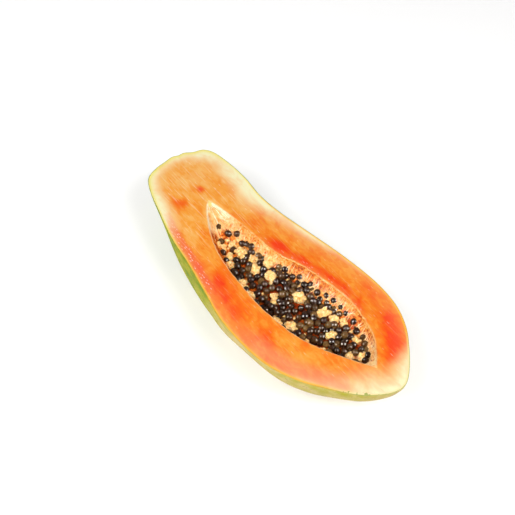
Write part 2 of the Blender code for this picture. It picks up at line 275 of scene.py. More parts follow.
def skin_arcs(near, far):
    """Rows of points under the fruit, each from the far edge to the near edge."""
    share, angle, middle, reach = arc_frame(near, far, SKIN_STEPS)
    depth = between(DEPTH_SHARE, share) * np.hypot(reach[..., 0], reach[..., 1])
    swell = np.where(angle > math.pi / 2, between(NEAR_SWELL, share) * np.sin(2 * angle), 0.0)
    out = -LOBE_HEIGHT * np.sqrt(np.sin(math.pi * share)) * np.sin(LOBES * angle) - swell
    x = middle[..., 0] + reach[..., 0] * np.cos(angle)
    y = middle[..., 1] + reach[..., 1] * np.cos(angle) + out * np.cos(angle)
    z = -depth * np.sin(angle) - out * np.sin(angle)
    wave = soft_noise(np.stack([x, y, z], -1).reshape(-1, 3), WAVE_LENGTH).reshape(x.shape)
    sink = WAVE_HEIGHT * (wave - 1.0) * np.sin(angle) ** 0.5 * np.sin(math.pi * share) ** 0.5
    y, z = y + sink * np.cos(angle), z - sink * np.sin(angle)
    scar_x, scar_y = NEAR_EDGE[0]
    scar_gap = np.sqrt((x - scar_x) ** 2 + (y - scar_y) ** 2 + z**2) / SCAR_RADIUS
    x = x + np.where(scar_gap < 1, SCAR_DEPTH * (1 - scar_gap**2) * np.sin(angle), 0.0)
    return np.stack([x, y, np.maximum(z, -DEPTH)], -1)


near_edge, far_edge = even_points(NEAR_EDGE, ROWS + 1), even_points(FAR_EDGE, ROWS + 1)
near_rim, far_rim = even_points(NEAR_RIM, ROWS + 1), even_points(FAR_RIM, ROWS + 1)
skin = skin_arcs(near_edge, far_edge)
print("skin:", skin.shape[0], "arcs of", skin.shape[1], "points")

# %% [markdown]
# ## The cut face
#
# The knife leaves a flat ring between the skin and the hollow's rim. Points on the ring lie close
# together at both borders, because the colours change fast there. The rim itself is torn a little,
# not drawn with a ruler. Low waves and a rounded lip keep the ring from looking like a sheet.

# %% The ring
FACE_STEPS, FACE_EVENNESS = 34, 0.3
RIM_TEAR, TEAR_LENGTH, TEAR_DETAIL = 0.55, 4.0, 3
LIP_DROP, LIP_WIDTH = 0.35, 0.7
FACE_WAVE, FACE_WAVE_LENGTH, FACE_WAVE_FADE = 0.12, 9.0, 4.0
FACE_WAVE_STRETCH = (0.4, 1.0)
GAP_BATCHES = 64


def torn(rim, middle_line):
    """The rim moved in and out by a little."""
    points = np.column_stack([rim, np.zeros(len(rim))])
    amount = RIM_TEAR * soft_noise(points, TEAR_LENGTH, TEAR_DETAIL)
    way = rim - middle_line
    length = np.maximum(np.hypot(way[:, 0], way[:, 1]), 1.0)[:, None]
    fade = np.sin(math.pi * np.linspace(0.0, 1.0, len(rim)))[:, None] ** 0.5
    return rim + way / length * amount[:, None] * fade


def loop(near, far):
    """One closed loop from two sides that share their ends."""
    return np.vstack([near, far[-2:0:-1]])


middle_line = (near_rim + far_rim) / 2
near_rim, far_rim = torn(near_rim, middle_line), torn(far_rim, middle_line)
outer, inner = loop(near_edge, far_edge), loop(near_rim, far_rim)
step = np.linspace(0.0, 1.0, FACE_STEPS + 1)
crowded = 0.5 - 0.5 * np.cos(math.pi * step)
step = crowded * (1 - FACE_EVENNESS) + step * FACE_EVENNESS
ring = outer[None] * (1 - step[:, None, None]) + inner[None] * step[:, None, None]


def gap_to(points, line):
    """How far each point is from the nearest point of a closed line."""
    dense = np.vstack([line + (np.roll(line, -1, 0) - line) * t for t in (0.0, 0.25, 0.5, 0.75)])
    return np.concatenate([
        np.sqrt(((part[:, None] - dense[None]) ** 2).sum(-1)).min(1)
        for part in np.array_split(points, GAP_BATCHES)
    ])


flat = ring.reshape(-1, 2)
skin_gap = gap_to(flat, outer).reshape(ring.shape[:2])
rim_gap = gap_to(flat, inner).reshape(ring.shape[:2])
skin_gap[0], rim_gap[-1] = 0.0, 0.0
waves = soft_noise(
    np.column_stack([flat * FACE_WAVE_STRETCH, 0 * flat[:, 0]]), FACE_WAVE_LENGTH
).reshape(skin_gap.shape)
face_z = FACE_WAVE * (waves - 1.0) * np.minimum(skin_gap / FACE_WAVE_FADE, 1)
face_z = face_z - LIP_DROP * np.clip(1 - rim_gap / LIP_WIDTH, 0, 1) ** 2
face_z[0] = -EDGE_DROP
print("ring:", ring.shape[:2], "points, lowest", round(float(face_z.min()), 2), "mm")

# %% [markdown]
# ## The hollow's wall
#
# Inside the rim the wall falls steeply, then rounds into a floor. An arc between a circle and a
# square does that, and the same arc with another depth fits at each place along the hollow. Small
# bumps of pith break up the surface.

# %% The wall
WALL_STEPS = 50
CAVITY_DEPTH = [0.0, 14.0, 20.0, 24.5, 27.0, 28.5, 28.5, 26.5, 20.0, 0.0]
CAVITY_SQUARENESS = 2.5
PITH_BUMP, PITH_LENGTH, BUMP_DETAIL, BUMP_FADE = 0.55, 3.2, 3, 3.0


def wall_arcs(near, far):
    """Rows of points down the hollow's wall, each from the far rim to the near rim."""
    share, angle, middle, reach = arc_frame(near, far, WALL_STEPS)
    power = 2 / CAVITY_SQUARENESS
    across = np.sign(np.cos(angle)) * np.abs(np.cos(angle)) ** power
    down = np.sin(angle).clip(0) ** power
    place = middle + reach * across[..., None]
    z = -between(CAVITY_DEPTH, share) * down
    points = np.dstack([place, z])
    bump = soft_noise(points.reshape(-1, 3), PITH_LENGTH, BUMP_DETAIL).reshape(z.shape)
    rise = PITH_BUMP * bump * np.minimum(-z / BUMP_FADE, 1.0)
    points[..., 1] -= rise * across
    points[..., 2] += rise * down
    points[:, 0, 2] = points[:, -1, 2] = 0.0
    return points


wall = wall_arcs(near_rim, far_rim)
print("wall:", wall.shape[:2], "points, lowest", round(float(wall[..., 2].min()), 1), "mm")

# %% [markdown]
# ## Where the flesh is ripe
#
# Papaya flesh ripens from the middle. Under the skin it stays cream, in a band that is wide at the
# stem and nearly gone along the belly. Round the hollow it is orange, with red patches. The
# patches are soft ovals, and they are stored on the mesh as one number at each point, from unripe
# to red. The colours themselves come later, from the material.

# %% Cream and red
# How pale the flesh is right at the skin, and how far in that fades, from stem to blossom.
NEAR_PALE = [0.8, 0.85, 0.95, 0.85, 0.45, 0.3, 0.3, 0.3, 0.3, 0.25, 0.3, 0.4, 0.55, 0.92]
NEAR_REACH = [12.0, 12.0, 16.0, 13.0, 4.0, 3.0, 3.0, 3.5, 4.0, 4.0, 6.0, 14.0, 28.0, 28.0]
FAR_PALE = [0.9, 1.0, 1.0, 1.0, 0.88, 0.8, 0.7, 0.55, 0.35, 0.2, 0.25, 0.1, 0.7, 0.95]
FAR_REACH = [14.0, 20.0, 24.0, 20.0, 15.0, 11.0, 9.0, 7.0, 5.0, 4.0, 3.0, 3.0, 15.0, 26.0]
VEIL, VEIL_REACH = 0.12, 18.0


def cream_amount(skin_gap):
    """How pale the flesh is at each point of the ring: palest at the skin, fading inward."""
    share = np.linspace(0.0, 1.0, ROWS + 1)[:, None]
    pale = loop(between(NEAR_PALE, share), between(FAR_PALE, share))[:, 0]
    reach = loop(between(NEAR_REACH, share), between(FAR_REACH, share))[:, 0]
    far_in = np.clip(skin_gap / reach[None], 0.0, 1.0)
    veil_in = np.clip(skin_gap / VEIL_REACH, 0.0, 1.0)
    fade, veil = (1 - v * v * (3 - 2 * v) for v in (far_in, veil_in))
    return np.clip(pale[None], 0.0, 1.0) * fade + VEIL * veil


# Ripeness along the fruit in even steps, before the patches.
RIPE_ALONG = [0.05, 0.12, 0.2, 0.3, 0.4, 0.44, 0.44, 0.44, 0.44, 0.4, 0.3]
# Patches: along the fruit, across it, half length, half width, turn in degrees, strength.
RED_PATCHES = [
    (-90.0, -26.0, 6.0, 4.2, 50.0, 0.62), (-92.0, -4.0, 3.6, 2.8, 0.0, 0.8),
    (-80.0, -40.5, 14.0, 2.6, -14.0, 0.3), (-52.0, -46.5, 16.0, 2.8, -12.0, 0.42),
    (-24.0, -52.0, 14.0, 3.2, -14.0, 0.36), (-14.0, -45.0, 12.0, 6.0, -30.0, 0.36),
    (8.0, -53.0, 17.0, 6.0, -12.0, 0.42), (-67.0, -33.0, 14.0, 5.0, -25.0, -0.16),
    (-30.0, -37.0, 12.0, 3.0, -15.0, -0.14), (66.0, -36.0, 20.0, 6.0, 12.0, -0.2),
    (42.0, -49.0, 15.0, 7.0, 0.0, 0.2), (-15.0, 10.5, 11.0, 4.0, 18.0, 0.6),
    (6.0, 17.0, 11.0, 3.0, 25.0, 0.36), (26.0, 22.0, 12.0, 3.0, 15.0, 0.36),
    (46.0, 26.0, 14.0, 3.0, 5.0, 0.3), (63.0, 26.0, 9.0, 3.0, -10.0, 0.2),
    (34.0, 36.0, 12.0, 6.0, 0.0, -0.1), (62.0, 38.0, 12.0, 5.0, -20.0, 0.16),
    (85.0, 34.0, 10.0, 7.0, -40.0, 0.5), (101.0, 24.0, 12.0, 8.0, -50.0, 0.55),
    (109.0, 12.0, 8.0, 6.0, -60.0, 0.35),
]
PALE_PATCHES = [
    (-12.0, 31.0, 30.0, 7.0, 12.0, 0.1), (-58.0, 18.0, 22.0, 9.0, 5.0, 0.1),
    (94.0, -37.0, 24.0, 8.0, 35.0, 0.14), (113.0, -16.0, 14.0, 12.0, 45.0, 0.2),
    (66.0, -52.0, 24.0, 6.0, 12.0, 0.12), (-106.0, 0.0, 18.0, 20.0, 0.0, 0.1),
]


def patchwork(patches, points):
    """The patches' soft ovals added up at each point."""
    total = np.zeros(len(points))
    for x, y, half_length, half_width, turn, strength in patches:
        a = math.radians(turn)
        along = (points[:, 0] - x) * math.cos(a) + (points[:, 1] - y) * math.sin(a)
        across = (points[:, 1] - y) * math.cos(a) - (points[:, 0] - x) * math.sin(a)
        total += strength * np.exp(-((along / half_length) ** 2) - (across / half_width) ** 2)
    return total


share_along = (flat[:, 0] - flat[:, 0].min()) / np.ptp(flat[:, 0])
cream = cream_amount(skin_gap) + patchwork(PALE_PATCHES, flat).reshape(skin_gap.shape)
ripe = (between(RIPE_ALONG, share_along) + patchwork(RED_PATCHES, flat)).reshape(skin_gap.shape)
print("cream band covers", round(float((cream > 0.5).mean()) * 100), "% of the ring's points")

# %% [markdown]
# ## From points to a piece
#
# Every piece below is made the same way: a mesh from points and faces, numbers stored on its points
# for the finish to read, normals turned outward, and smooth shading up to a crease. The helper also
# moves the drawing's millimetres to the solids' place in metres.

# %% Making a piece
CREASE = 50
# A hair smaller than drawn along and across, so that the piece stays inside the solid's box.
SLIMMER = (0.9994, 0.9994, 1.0)


def to_row(points):
    """Points in the drawing's millimetres, in metres in their place."""
    return (np.asarray(points) - (*MIDDLE, 0.0)) * SLIMMER * MM + (0.0, 0.0, FACE_HEIGHT)


def add_piece(name, points, faces, finishes, face_finish=None, numbers=None):
    """A smooth mesh piece that rides on the fruit, with its normals outward."""
    mesh = bpy.data.meshes.new(name)
    mesh.from_pydata(to_row(points).tolist(), [], faces)
    for finish in finishes:
        mesh.materials.append(finish.material)
    if face_finish is not None:
        mesh.polygons.foreach_set("material_index", np.asarray(face_finish, np.int32))
    for key, values in (numbers or {}).items():
        layer = mesh.attributes.new(key, "FLOAT", "POINT")
        layer.data.foreach_set("value", np.asarray(values, np.float32))
    work = bmesh.new()
    work.from_mesh(mesh)
    bmesh.ops.recalc_face_normals(work, faces=work.faces)
    work.to_mesh(mesh)
    work.free()
    mesh.shade_smooth()
    mesh.set_sharp_from_angle(angle=math.radians(CREASE))
    piece = put(name, mesh)
    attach(piece, "root")
    print(f"{name}: {len(mesh.vertices)} points, {len(mesh.polygons)} faces")
    return piece


print("drawing's middle", MIDDLE, "goes to the row's middle, cut face at", round(FACE_HEIGHT, 4), "m")

# %% [markdown]
# ## One closed mesh for skin and flesh
#
# Skin, cut face and wall grew as one piece, so they are one mesh with three materials. The ring's
# outer loop is also the arcs' ends, and its inner loop is the wall's rim. Sharing those points keeps
# the mesh closed, so it can be printed or weighed as it is.

# %% Joining the surfaces
def strip(a, b):
    """Four-sided faces between two equal lines of point numbers."""
    return np.column_stack([a[:-1], a[1:], b[1:], b[:-1]]).tolist()


def net(grid, start, end):
    """Faces of a grid of point numbers, closed to one point at each end."""
    faces = sum((strip(upper, lower) for upper, lower in zip(grid, grid[1:])), [])
    for row, tip in ((grid[0], start), (grid[-1], end)):
        faces += [(int(tip), int(p), int(q)) for p, q in zip(row, row[1:])]
    return faces


def grid_of(first, points, far_column, near_column):
    """Point numbers of a surface's rows, with the loops that it shares at both sides."""
    rows, columns = points.shape[:2]
    inside = first + np.arange(rows * columns).reshape(rows, columns)
    return np.column_stack([far_column, inside, near_column])


def inner_points(arcs, least_drop):
    """The arcs without their shared ends, kept at least a little below the cut face."""
    inside = arcs[:, 1:-1].copy()
    inside[..., 2] = np.minimum(inside[..., 2], -least_drop)
    return inside


around = 2 * ROWS
rim_start = FACE_STEPS * around
near_side = np.arange(1, ROWS)
far_side = around - near_side
ring_points = np.concatenate([ring, face_z[..., None]], -1).reshape(-1, 3)
skin_inside = inner_points(skin, EDGE_DROP)
wall_inside = inner_points(wall, LIP_DROP + FACE_WAVE)
skin_first = len(ring_points)
wall_first = skin_first + skin_inside[..., 0].size
skin_grid = grid_of(skin_first, skin_inside, far_side, near_side)
wall_grid = grid_of(wall_first, wall_inside, rim_start + far_side, rim_start + near_side)

loops = np.arange((FACE_STEPS + 1) * around).reshape(FACE_STEPS + 1, around)
loops = np.column_stack([loops, loops[:, 0]])
ring_faces = sum((strip(upper, lower) for upper, lower in zip(loops, loops[1:])), [])
skin_faces = net(skin_grid, 0, ROWS)
wall_faces = net(wall_grid, rim_start, rim_start + ROWS)
body_points = np.vstack([ring_points, skin_inside.reshape(-1, 3), wall_inside.reshape(-1, 3)])
body_finish = [0] * len(skin_faces) + [1] * len(ring_faces) + [2] * len(wall_faces)
spare = np.zeros(len(body_points) - len(ring_points))
ring_numbers = {"from_skin": skin_gap, "from_rim": rim_gap, "cream": cream, "ripe": ripe}
body_numbers = {key: np.concatenate([v.ravel(), spare]) for key, v in ring_numbers.items()}
body_numbers["down"] = -body_points[:, 2]
print("faces:", len(skin_faces), len(ring_faces), len(wall_faces))

# %% [markdown] ## A small kit for finishes  A material in Blender is a net of nodes, and a long
# net is hard to read. Its first half makes the material and does sums: it moves a value to another
# range, adds, multiplies and bounds a zone.

NOISE_RANGE = (0.3, 0.7)


class Sums:
    """A material and the sums that its values go through."""

    def __init__(self, name, soft=None, **settings):
        """A new material: how far light sinks in, and other settings of its shader by name."""
        self.material = bpy.data.materials.new(name)
        self.material.use_nodes = True
        self.tree = self.material.node_tree
        self.shader = self.tree.nodes["Principled BSDF"]
        self.place = self.tree.nodes.new("ShaderNodeTexCoord").outputs["Object"]
        apart = self.node("SeparateXYZ", [(0, self.place)]).outputs
        # In metres: from the stem end to the blossom end, and from the near side to the far side.
        self.along, self.across = apart[0], apart[1]
        if soft:
            settings["Subsurface_Weight"], *settings["Subsurface_Radius"] = soft
            settings["Subsurface_Scale"] = MM
        for key, value in settings.items():
            self.shader.inputs[key.replace("_", " ")].default_value = value

    def node(self, kind, values=(), **settings):
        """A node with its inputs set or linked in order."""
        made = self.tree.nodes.new("ShaderNode" + kind)
        for key, value in settings.items():
            setattr(made, key, value)
        for key, value in values:
            if isinstance(value, bpy.types.NodeSocket):
                self.tree.links.new(value, made.inputs[key])
            else:
                made.inputs[key].default_value = value
        return made

    def number(self, name):
        """A number stored on the mesh's points."""
        return self.node("Attribute", attribute_name=name).outputs["Fac"]

    def maths(self, operation, a, b, clamp=False):
        """One sum on two values, or on a value and a number."""
        made = self.node("Math", [(0, a), (1, b)], operation=operation, use_clamp=clamp)
        return made.outputs[0]

    def plus(self, first, *others):
        """Values added up."""
        for value in others:
            first = self.maths("ADD", first, value)
        return first

    def times(self, first, *others):
        """Values multiplied together."""
        for value in others:
            first = self.maths("MULTIPLY", first, value)
        return first

    def part(self, value, low, high, out_low=0.0, out_high=1.0):
        """A value's range moved to another, smooth at both ends."""
        values = [("Value", value), ("From Min", low), ("From Max", high)]
        values += [("To Min", out_low), ("To Max", out_high)]
        return self.node("MapRange", values, interpolation_type="SMOOTHSTEP").outputs[0]

    def swing(self, pattern, low, high):
        """A pattern's usual range moved to another."""
        return self.part(pattern, *NOISE_RANGE, low, high)

    def zone(self, *limits):
        """Where every limit holds, each a value, where it starts and where it holds in full."""
        return self.times(*(self.part(*limit) for limit in limits))


print("sums:", [n for n in dir(Sums) if not n.startswith("_")])

# Every finish below is a few patterns mixed: soft spots, streaks and specks, each at its real size
# in millimetres, so that a close look holds up. Colours are written as six-figure codes and turned
# into the values that a shader takes.

def shade(code):
    """A colour from its six-figure code, by the standard sRGB formula, as a shader takes it."""
    values = [int(code[i : i + 2], 16) / 255 for i in (0, 2, 4)]
    return (*(v / 12.92 if v <= 0.04045 else ((v + 0.055) / 1.055) ** 2.4 for v in values), 1.0)


class Finish(Sums):
    """A material with the patterns, colours and relief that make it look real."""

    def stretched(self, stretch, turn=0.0):
        """Places scaled along the fruit, across it and upward."""
        values = [("Vector", self.place), ("Scale", stretch), ("Rotation", (0.0, 0.0, turn))]
        return self.node("Mapping", values).outputs[0]

    def spots(self, size, detail=2.0, rough=0.5, stretch=(1, 1, 1), turn=0.0, warp=0.0):
        """Soft random spots of about the given size in millimetres, from 0 to 1."""
        values = [("Vector", self.stretched(stretch, turn)), ("Scale", 1 / (size * MM))]
        values += [("Detail", detail), ("Roughness", rough), ("Distortion", warp)]
        return self.node("TexNoise", values).outputs["Fac"]

    def specks(self, size, reach, strength=1.0, stretch=(1, 1, 1)):
        """Specks about the given size in millimetres apart, fading over a reach in shares of it."""
        values = [("Vector", self.stretched(stretch)), ("Scale", 1 / (size * MM))]
        distance = self.node("TexVoronoi", values).outputs["Distance"]
        return self.part(distance, *reach, strength, 0.0)

    def ramp(self, value, stops):
        """Colours along a value, from a list of places and colours."""
        made = self.node("ValToRGB", [(0, value)])
        points = made.color_ramp.elements
        while len(points) < len(stops):
            points.new(0.5)
        for point, (place, code) in zip(points, stops):
            point.position, point.color = place, shade(code)
        return made.outputs["Color"]

    def mix(self, amount, a, b):
        """Two colours mixed, where the second may be a six-figure code."""
        second = shade(b) if isinstance(b, str) else b
        # The Mix node has its colours at inputs 6 and 7 and at output 2.
        values = [("Factor", amount), (6, a), (7, second)]
        return self.node("Mix", values, data_type="RGBA").outputs[2]

    def lay(self, amount, over):
        """Lays a colour over the finish's own, by an amount from 0 to 1."""
        self.colour = self.mix(amount, self.colour, over)

    def relief(self, *layers):
        """Small relief, from pairs of a pattern and its depth in millimetres."""
        normal = None
        for pattern, depth in layers:
            values = [("Height", pattern), ("Distance", depth * MM), ("Strength", 1.0)]
            if normal is not None:
                values.append(("Normal", normal))
            normal = self.node("Bump", values).outputs[0]
        self.tree.links.new(normal, self.shader.inputs["Normal"])

    def paint(self, roughness=None):
        """Links the finish's colour, and its roughness where that varies, to the shader."""
        self.tree.links.new(self.colour, self.shader.inputs["Base Color"])
        if roughness is not None:
            self.tree.links.new(roughness, self.shader.inputs["Roughness"])
        print(self.material.name, "is made of", len(self.tree.nodes), "nodes")


print("patterns and colours:", sorted(n for n in vars(Finish) if not n.startswith("_")))

# %% [markdown]
# ## The flesh's colour
#
# Fresh flesh is wet and a little see-through, so light goes in and comes out softened: that is the
# subsurface setting. Its colour follows the ripeness stored on the mesh, broken up by soft spots of
# three sizes, so that no patch has a drawn edge. Cream is mixed in last, where the mesh says so.

# %% The flesh's colour
RIPE_COLOURS = [
    (0.0, "dba053"), (0.25, "da8c30"), (0.5, "d87018"), (0.7, "d85a10"), (0.88, "d9460c"),
    (1.0, "d83810"),
]
CREAM_COLOURS = [(0.0, "ddb683"), (0.35, "ddc192"), (0.65, "decc9e"), (1.0, "ddd6ac")]
CLOUD_SIZE, BLOT_SIZE, MOTTLE_SIZE = 13.0, 5.0, 2.4

flesh = Finish(
    "cut_flesh", soft=(0.06, 2.0, 0.8, 0.3), Roughness=0.42, Specular_IOR_Level=0.06,
    Coat_Weight=0.08, Coat_Roughness=0.15,
)
clouds = flesh.spots(CLOUD_SIZE, 3.0, 0.55, stretch=(0.7, 1, 1), warp=0.4)
blots = flesh.spots(BLOT_SIZE, 2.0, 0.5, stretch=(0.55, 1, 1), warp=0.8)
mottle = flesh.spots(MOTTLE_SIZE, 3.0, 0.6, stretch=(0.4, 1, 1))
ripe_value = flesh.plus(
    flesh.number("ripe"),
    flesh.part(clouds, 0.25, 0.75, -0.14, 0.14),
    flesh.part(blots, 0.38, 0.64, -0.07, 0.1),
    flesh.swing(mottle, -0.05, 0.05),
)
cloudy = flesh.swing(clouds, 1.2, 0.8)
pale = flesh.maths("MULTIPLY", flesh.number("cream"), cloudy, clamp=True)
flesh.colour = flesh.ramp(ripe_value, RIPE_COLOURS)
flesh.lay(pale, flesh.ramp(pale, CREAM_COLOURS))
print("ripe colours:", len(RIPE_COLOURS), "cream colours:", len(CREAM_COLOURS))

# %% [markdown]
# ## Fibres in the flesh
#
# Pale fibres run along the fruit. They are spots of noise drawn out to many times their width. The
# stem's half has longer ones, and short pale dashes lie between, where the knife crossed a fibre.
# The dashes are partly painted highlight too: pale specks where the wet flesh would catch the light.

# %% Fibres in the flesh
FIBRE_SHADE, STREAK_SHADE, DASH_GLINT_SHADE = "dfc8a6", "dfbd92", "e0cdb0"
FIBRE_STRENGTH, STREAK_STRENGTH, DASH_GLINT_STRENGTH = 0.16, 0.4, 0.7

fibres = flesh.spots(1.0, 3.0, 0.6, stretch=(0.07, 1, 1), turn=0.12)
flesh.lay(flesh.times(flesh.part(fibres, 0.56, 0.76), FIBRE_STRENGTH), FIBRE_SHADE)
streaks = flesh.spots(1.1, 1.0, 0.5, stretch=(0.06, 1, 1), warp=0.2)
streaks = flesh.part(streaks, 0.6, 0.7, 0.0, STREAK_STRENGTH)
stem_half = flesh.part(flesh.along, -0.02, -0.07)
flesh.lay(flesh.times(streaks, stem_half), STREAK_SHADE)
# Partly painted highlight: these pale dashes stand for wet shine as well as cut fibres.
dashes = flesh.specks(2.7, (0.03, 0.17), stretch=(0.2, 1.7, 1))
dashes = flesh.times(dashes, flesh.part(blots, 0.4, 0.56, DASH_GLINT_STRENGTH, 0.0))
flesh.lay(dashes, DASH_GLINT_SHADE)
print("fibres, streaks and dashes laid over the flesh")

# %% [markdown]
# ## Redder bands
#
# The near side's flesh is pinker toward the blossom end. A band along its edge was scuffed in
# handling, and another runs beside the far rim: both are redder, with small pale specks painted on
# as highlights, for wet glinting. Each band is a zone, bounded by its distance from an edge and by
# its place along the fruit and across it.

# %% Redder bands
PINK_SHADE, SCUFFED_SHADE, RIM_RED, PAINTED_GLINT_SHADE = "dc7464", "d8604a", "d85238", "eec6b4"
PINK_STRENGTH, SCUFFED_STRENGTH, RIM_RED_STRENGTH = 0.3, 0.4, 0.35
PAINTED_GLINT_STRENGTH, PAINTED_GLINTS_BY_RIM = 0.8, 0.6

# Distances from the skin and from the rim are in millimetres, places in metres.
from_skin, from_rim = flesh.number("from_skin"), flesh.number("from_rim")
pinker = flesh.zone(
    (from_skin, 1.5, 4.0), (from_skin, 20.0, 10.0), (flesh.across, -0.012, -0.024),
    (flesh.along, 0.02, 0.05),
)
scuffed = flesh.zone(
    (from_skin, 1.6, 3.2), (from_skin, 9.0, 6.0), (flesh.across, -0.018, -0.026),
    (flesh.along, -0.092, -0.076), (flesh.along, -0.002, -0.016),
)
by_rim = flesh.zone(
    (from_rim, 0.4, 1.2), (from_rim, 4.5, 2.0), (flesh.across, 0.006, 0.012),
    (flesh.along, -0.035, -0.015), (flesh.along, 0.078, 0.06),
)
flesh.lay(flesh.times(pinker, PINK_STRENGTH), PINK_SHADE)
flesh.lay(flesh.times(scuffed, SCUFFED_STRENGTH), SCUFFED_SHADE)
flesh.lay(flesh.times(by_rim, RIM_RED_STRENGTH), RIM_RED)
# Painted highlights: pale specks of colour where the wet flesh would shine.
painted_glints = flesh.specks(1.8, (0.1, 0.32), PAINTED_GLINT_STRENGTH, stretch=(0.45, 1.3, 1))
painted_glints = flesh.times(painted_glints, flesh.maths("MAXIMUM", scuffed, flesh.times(by_rim, PAINTED_GLINTS_BY_RIM)))
flesh.lay(painted_glints, PAINTED_GLINT_SHADE)
print("three bands added")

# %% [markdown]
# ## The line round the hollow
#
# The pith reaches the cut face as a thin pale line on the near side of the hollow. At the stem's
# point it spills over the rim a little and stains the flesh yellow.

# %% Beside the rim
RIM_LINE, RIM_SHADE, SPILL_SHADE = 0.9, "e2c596", "e8c070"

spill = flesh.zone((from_rim, 4.0, 1.0), (flesh.along, -0.054, -0.064))
flesh.lay(flesh.times(spill, flesh.part(dashes, 0.3, 0.6, 0.25, 0.8)), SPILL_SHADE)
near_half = flesh.part(flesh.across, 0.008, 0.0, 0.15, 0.75)
rim_line = flesh.times(flesh.part(from_rim, RIM_LINE, 0.2), near_half)
flesh.lay(rim_line, RIM_SHADE)
print("rim line", RIM_LINE, "mm wide")

# %% [markdown]
# ## The line under the skin
#
# Right at the border come a yellow line and the skin's own green, both fading into other shades
# along the fruit, with a greenish tinge round the stem's end. At the blossom tip the skin folds in
# a little. A fold that small can be drawn by moving the border inward, which shows as green pleats.

# %% The fruit's border
SKIN_LINE, YELLOW_LINE = 0.6, 2.2
TINGE_SHADE, TINGE_STRENGTH = "d7c64e", 0.6
YELLOWS, SKIN_SHADES = ("dbcd58", "dba82c", "dccb92"), ("7d8423", "c48f38", "94984e")
PLEAT_START, PLEAT_FADE, PLEAT_DEPTH = 0.57, 0.06, 2.0

tinge = flesh.zone((flesh.along, -0.085, -0.12, 0.0, TINGE_STRENGTH), (from_skin, 5.0, 0.5))
flesh.lay(tinge, TINGE_SHADE)
blossom_tip = flesh.part(flesh.along, 0.095, 0.118)
line_colour = flesh.mix(flesh.part(flesh.along, -0.09, -0.03), shade(YELLOWS[0]), YELLOWS[1])
line_colour = flesh.mix(blossom_tip, line_colour, YELLOWS[2])
yellow_line = flesh.zone((flesh.along, -0.1, -0.075, 0.45, 0.82), (from_skin, YELLOW_LINE, 0.8))
flesh.lay(yellow_line, line_colour)
skin_colour = flesh.mix(flesh.part(flesh.along, -0.04, 0.04), shade(SKIN_SHADES[0]), SKIN_SHADES[1])
skin_colour = flesh.mix(blossom_tip, skin_colour, SKIN_SHADES[2])
pleats = flesh.spots(2.4, 1.0, 0.5)
pleats = flesh.part(pleats, PLEAT_START, PLEAT_START + PLEAT_FADE, 0.0, PLEAT_DEPTH)
pleats = flesh.times(pleats, flesh.part(flesh.across, 0.0, -0.008), blossom_tip)
to_skin = flesh.maths("SUBTRACT", from_skin, pleats)
flesh.lay(flesh.part(to_skin, SKIN_LINE, 0.3), skin_colour)
print("skin line", SKIN_LINE, "mm wide, pleats up to", PLEAT_DEPTH, "mm deep")

# %% [markdown]
# ## The flesh's surface
#
# A knife leaves the flesh nearly smooth, with faint nicks that catch the light. Each pattern above
# also lifts the surface by a fraction of a millimetre, and the wetness varies with the mottling.

# %% The flesh's surface
nicks = flesh.specks(7.0, (0.0, 0.16), stretch=(0.45, 1.6, 1))
flesh.relief(
    (clouds, 0.25), (fibres, 0.06), (mottle, 0.12), (dashes, 0.12), (nicks, 0.25), (painted_glints, 0.2)
)
flesh.paint(flesh.swing(mottle, 0.3, 0.5))

# %% [markdown]
# ## The finish of the skin
#
# The skin is thin, waxy and never one green. Broad clouds run from dark green to yellow, most
# yellow toward the blossom end where ripening starts; the pale beige there is partly a painted
# reflection of the white table. Finer mottling and faint pale streaks along the fruit come on top.
# Small brown freckles and a few scratches show that it hung on a tree and was carried home. A thin
# coat gives the waxy shine.

# %% Skin
SKIN_COLOURS = [
    (0.2, "405e10"), (0.36, "6c8218"), (0.5, "999823"), (0.66, "ab9e4c"), (0.85, "bea972"),
]
STREAK_PALE, SCRATCH_SHADE, FRECKLE_SHADE = "b1b675", "5e5a38", "5d4e25"

waxy = Finish(
    "papaya_skin", Specular_IOR_Level=0.0, Coat_Weight=0.16, Coat_Roughness=0.15, Coat_IOR=1.4
)
broad = waxy.spots(42, 3.0, 0.55, stretch=(0.55, 1, 1), warp=0.3)
patchy = waxy.spots(7, 4.0, 0.6, stretch=(0.5, 1, 1))
streaks = waxy.spots(1.3, 3.0, 0.55, stretch=(0.06, 1, 1))
# Yellower and paler toward the blossom end: ripening, and in part a painted reflection of the white
# table.
ripe_end_and_reflection = waxy.part(waxy.along, -0.1, 0.12, -0.06, 0.26)
green = waxy.plus(broad, ripe_end_and_reflection, waxy.swing(patchy, -0.09, 0.09))
waxy.colour = waxy.ramp(green, SKIN_COLOURS)
waxy.lay(waxy.part(streaks, 0.5, 0.75, 0.0, 0.25), STREAK_PALE)
scratches = waxy.spots(1.0, 1.0, 0.5, stretch=(0.04, 1, 1), turn=0.05)
scratches = waxy.zone((scratches, 0.64, 0.72, 0.0, 0.6), (patchy, 0.42, 0.56))
waxy.lay(scratches, SCRATCH_SHADE)
freckles = waxy.times(waxy.specks(3.4, (0.0, 0.11)), waxy.part(patchy, 0.45, 0.62))
waxy.lay(freckles, FRECKLE_SHADE)
waxy.relief((patchy, 0.12), (streaks, 0.03), (freckles, 0.1))
waxy.paint(waxy.swing(patchy, 0.34, 0.46))

# %% [markdown]
# ## The finish of the hollow's lining
#
# The wall is lined with pith: cream threads with orange flesh showing between them, palest near
# the rim. It is moist rather than wet, so its shine is faint and broken up by its woolly surface.

# %% Lining
LINING_COLOURS = [
    (0.3, "e87a28"), (0.42, "f29a42"), (0.54, "fab464"), (0.68, "ffc680"), (0.85, "ffd698"),
]

# This faint, broad shine serves all the pith below.
MOIST = {"Specular_IOR_Level": 0.04, "Coat_Weight": 0.02, "Coat_Roughness": 0.2}

